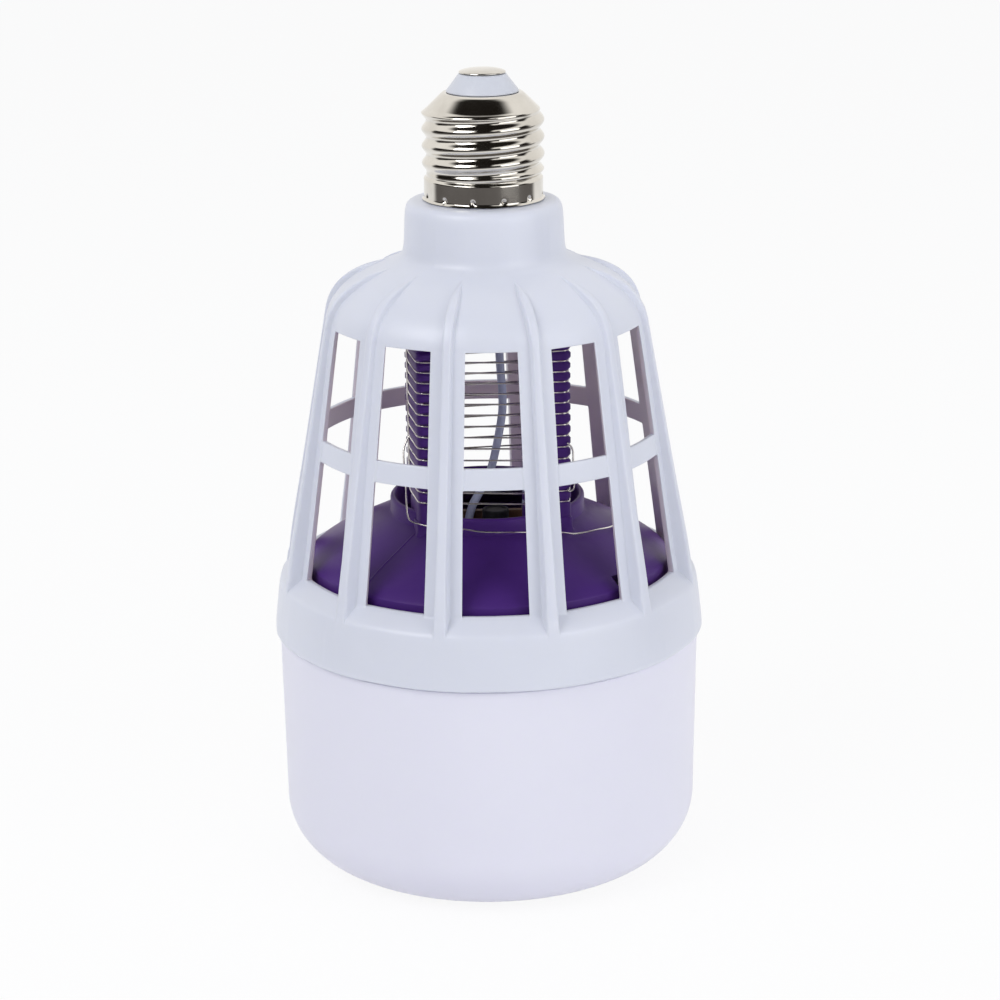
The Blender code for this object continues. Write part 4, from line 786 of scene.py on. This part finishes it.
def floor():
    """A pale round floor under the lamp, which keeps the lamp's shadow.

    The camera sees it nearly white. Glossy surfaces see it white near the lamp and behind it, and dim beyond
    that on the camera's side.
    """
    radius = 2.5
    angle = np.arange(64) * 2 * np.pi / 64
    points = np.stack([radius * np.cos(angle), radius * np.sin(angle), np.full(64, -0.0003)], -1)
    mesh = bpy.data.meshes.new("floor")
    mesh.from_pydata(points.tolist(), [], [list(range(64))])
    sheet = bpy.data.objects.new("floor", mesh)
    bpy.context.scene.collection.objects.link(sheet)
    finish = bpy.data.materials.new("floor_finish")
    finish.use_nodes = True
    nodes, links = finish.node_tree.nodes, finish.node_tree.links
    nodes.clear()
    out = nodes.new("ShaderNodeOutputMaterial")
    matte = nodes.new("ShaderNodeBsdfDiffuse")
    matte.inputs["Color"].default_value = (0.9, 0.9, 0.9, 1)
    glow = nodes.new("ShaderNodeEmission")
    rays = nodes.new("ShaderNodeLightPath")
    place = nodes.new("ShaderNodeTexCoord")
    split = nodes.new("ShaderNodeSeparateXYZ")
    links.new(place.outputs["Object"], split.inputs[0])
    length = nodes.new("ShaderNodeVectorMath")
    length.operation = "LENGTH"
    links.new(place.outputs["Object"], length.inputs[0])
    near = between(nodes, links, length.outputs["Value"], 0.34, 0.22)
    aside = number(nodes, links, "MULTIPLY", number(nodes, links, "ABSOLUTE", split.outputs["X"]), 0.42)
    behind = between(nodes, links, number(nodes, links, "SUBTRACT", split.outputs["Y"], aside), -0.16, 0.06)
    lit = number(nodes, links, "MAXIMUM", near, behind)
    tone = nodes.new("ShaderNodeMixRGB")
    tone.inputs["Color1"].default_value = DIM_FLOOR_COLOUR
    tone.inputs["Color2"].default_value = (1, 1, 1, 1)
    links.new(number(nodes, links, "MAXIMUM", lit, rays.outputs["Is Camera Ray"]), tone.inputs["Fac"])
    links.new(tone.outputs["Color"], glow.inputs["Color"])
    seen = number(nodes, links, "MAXIMUM", rays.outputs["Is Camera Ray"], rays.outputs["Is Glossy Ray"])
    seen = number(nodes, links, "MAXIMUM", seen, rays.outputs["Is Transmission Ray"])
    share = number(nodes, links, "MULTIPLY", seen, 0.9)
    mix = nodes.new("ShaderNodeMixShader")
    links.new(share, mix.inputs["Fac"])
    links.new(matte.outputs[0], mix.inputs[1])
    links.new(glow.outputs[0], mix.inputs[2])
    links.new(mix.outputs[0], out.inputs["Surface"])
    mesh.materials.append(finish)


floor()

CAMERA_PLACE = np.array([0.0, -609.0, 262.5])
CAMERA_PITCH = math.radians(16.65)
CAMERA_YAW = math.radians(0.262)
CAMERA_ROLL = math.radians(0.62)
OBJECT_TURN = math.radians(2.0)
FOCAL_PER_WIDTH = 2.887


def add_camera():
    """The photograph's camera: its place and aim turned by the angle that puts a window at -Y."""
    cp, sp = math.cos(CAMERA_PITCH), math.sin(CAMERA_PITCH)
    cy, sy = math.cos(CAMERA_YAW), math.sin(CAMERA_YAW)
    ahead = np.array([sy * cp, cy * cp, -sp])
    right = np.array([cy, -sy, 0.0])
    up = np.cross(right, ahead)
    cr, sr = math.cos(CAMERA_ROLL), math.sin(CAMERA_ROLL)
    level_right = cr * right - sr * up
    level_up = sr * right + cr * up
    c, s = math.cos(-OBJECT_TURN), math.sin(-OBJECT_TURN)
    spin = np.array([(c, -s, 0), (s, c, 0), (0, 0, 1)])
    place = spin @ CAMERA_PLACE
    axes = np.stack([spin @ level_right, spin @ level_up, -(spin @ ahead)], 1)
    matrix = np.eye(4)
    matrix[:3, :3] = axes
    matrix[:3, 3] = place * MM
    data = bpy.data.cameras.new("camera")
    data.sensor_width = 36.0
    data.lens = 36.0 * FOCAL_PER_WIDTH
    data.clip_start = 0.01
    camera = bpy.data.objects.new("camera", data)
    bpy.context.scene.collection.objects.link(camera)
    camera.matrix_world = Matrix(matrix.tolist())
    bpy.context.scene.camera = camera


add_camera()


def add_lamp(name, place, aim, size, power, mirrored=True):
    """A soft square lamp at a place in metres, turned to its aim; the metal may or may not mirror it."""
    data = bpy.data.lights.new(name, "AREA")
    data.size = size
    data.energy = power
    lamp = bpy.data.objects.new(name, data)
    lamp.location = place
    lamp.rotation_euler = (Vector(aim) - Vector(place)).to_track_quat("-Z", "Y").to_euler()
    lamp.visible_glossy = mirrored
    bpy.context.scene.collection.objects.link(lamp)


add_lamp("key_lamp", (-0.55, -0.5, 0.75), (0, 0, 0.09), 0.5, 3.05)
add_lamp("fill_lamp", (0.65, -0.55, 0.3), (0, 0, 0.07), 0.6, 2.1)
add_lamp("top_lamp", (0.0, 0.2, 0.95), (0, 0, 0.1), 0.5, 0.85, mirrored=False)


def world_light():
    """An even pale surround for light; the camera sees white, and glossy surfaces see a studio.

    The studio is a white backdrop behind, a white table below, two soft panels above to the left and right, and
    a dark room on the camera's side.
    """
    world = bpy.data.worlds.new("surround")
    bpy.context.scene.world = world
    world.use_nodes = True
    nodes, links = world.node_tree.nodes, world.node_tree.links
    nodes.clear()
    out = nodes.new("ShaderNodeOutputWorld")
    even = nodes.new("ShaderNodeBackground")
    even.inputs["Color"].default_value = (0.93, 0.95, 1.0, 1)
    even.inputs["Strength"].default_value = 0.625
    white = nodes.new("ShaderNodeBackground")
    white.inputs["Color"].default_value = (1, 1, 1, 1)
    white.inputs["Strength"].default_value = 1.0
    room = nodes.new("ShaderNodeBackground")
    place = nodes.new("ShaderNodeTexCoord")
    split = nodes.new("ShaderNodeSeparateXYZ")
    links.new(place.outputs["Generated"], split.inputs[0])

    x, y, z = split.outputs
    left = number(nodes, links, "MULTIPLY", number(nodes, links, "MINIMUM", x, 0.0), 0.3)
    backdrop = between(nodes, links, number(nodes, links, "ADD", y, left), -0.02, 0.22)
    table = between(nodes, links, z, -0.45, -0.7)
    side = number(nodes, links, "ABSOLUTE", number(nodes, links, "ADD", x, 0.04))
    wide = number(nodes, links, "MULTIPLY", between(nodes, links, side, 0.18, 0.32),
                  between(nodes, links, side, 0.9, 0.8))
    tall = number(nodes, links, "MULTIPLY", between(nodes, links, z, 0.38, 0.46), between(nodes, links, z, 0.8, 0.7))
    panel = number(nodes, links, "MULTIPLY", wide, tall)
    glow = number(nodes, links, "MAXIMUM", number(nodes, links, "MAXIMUM", backdrop, table), panel)
    tone = nodes.new("ShaderNodeMixRGB")
    tone.inputs["Color1"].default_value = ROOM_COLOUR
    tone.inputs["Color2"].default_value = (1.0, 0.985, 0.96, 1)
    links.new(glow, tone.inputs["Fac"])
    links.new(tone.outputs["Color"], room.inputs["Color"])
    rays = nodes.new("ShaderNodeLightPath")
    first = nodes.new("ShaderNodeMixShader")
    second = nodes.new("ShaderNodeMixShader")
    links.new(rays.outputs["Is Glossy Ray"], first.inputs["Fac"])
    links.new(even.outputs[0], first.inputs[1])
    links.new(room.outputs[0], first.inputs[2])
    direct = number(nodes, links, "MAXIMUM", rays.outputs["Is Camera Ray"], rays.outputs["Is Transmission Ray"])
    links.new(direct, second.inputs["Fac"])
    links.new(first.outputs[0], second.inputs[1])
    links.new(white.outputs[0], second.inputs[2])
    links.new(second.outputs[0], out.inputs["Surface"])


world_light()
bpy.context.scene.view_settings.view_transform = "Standard"
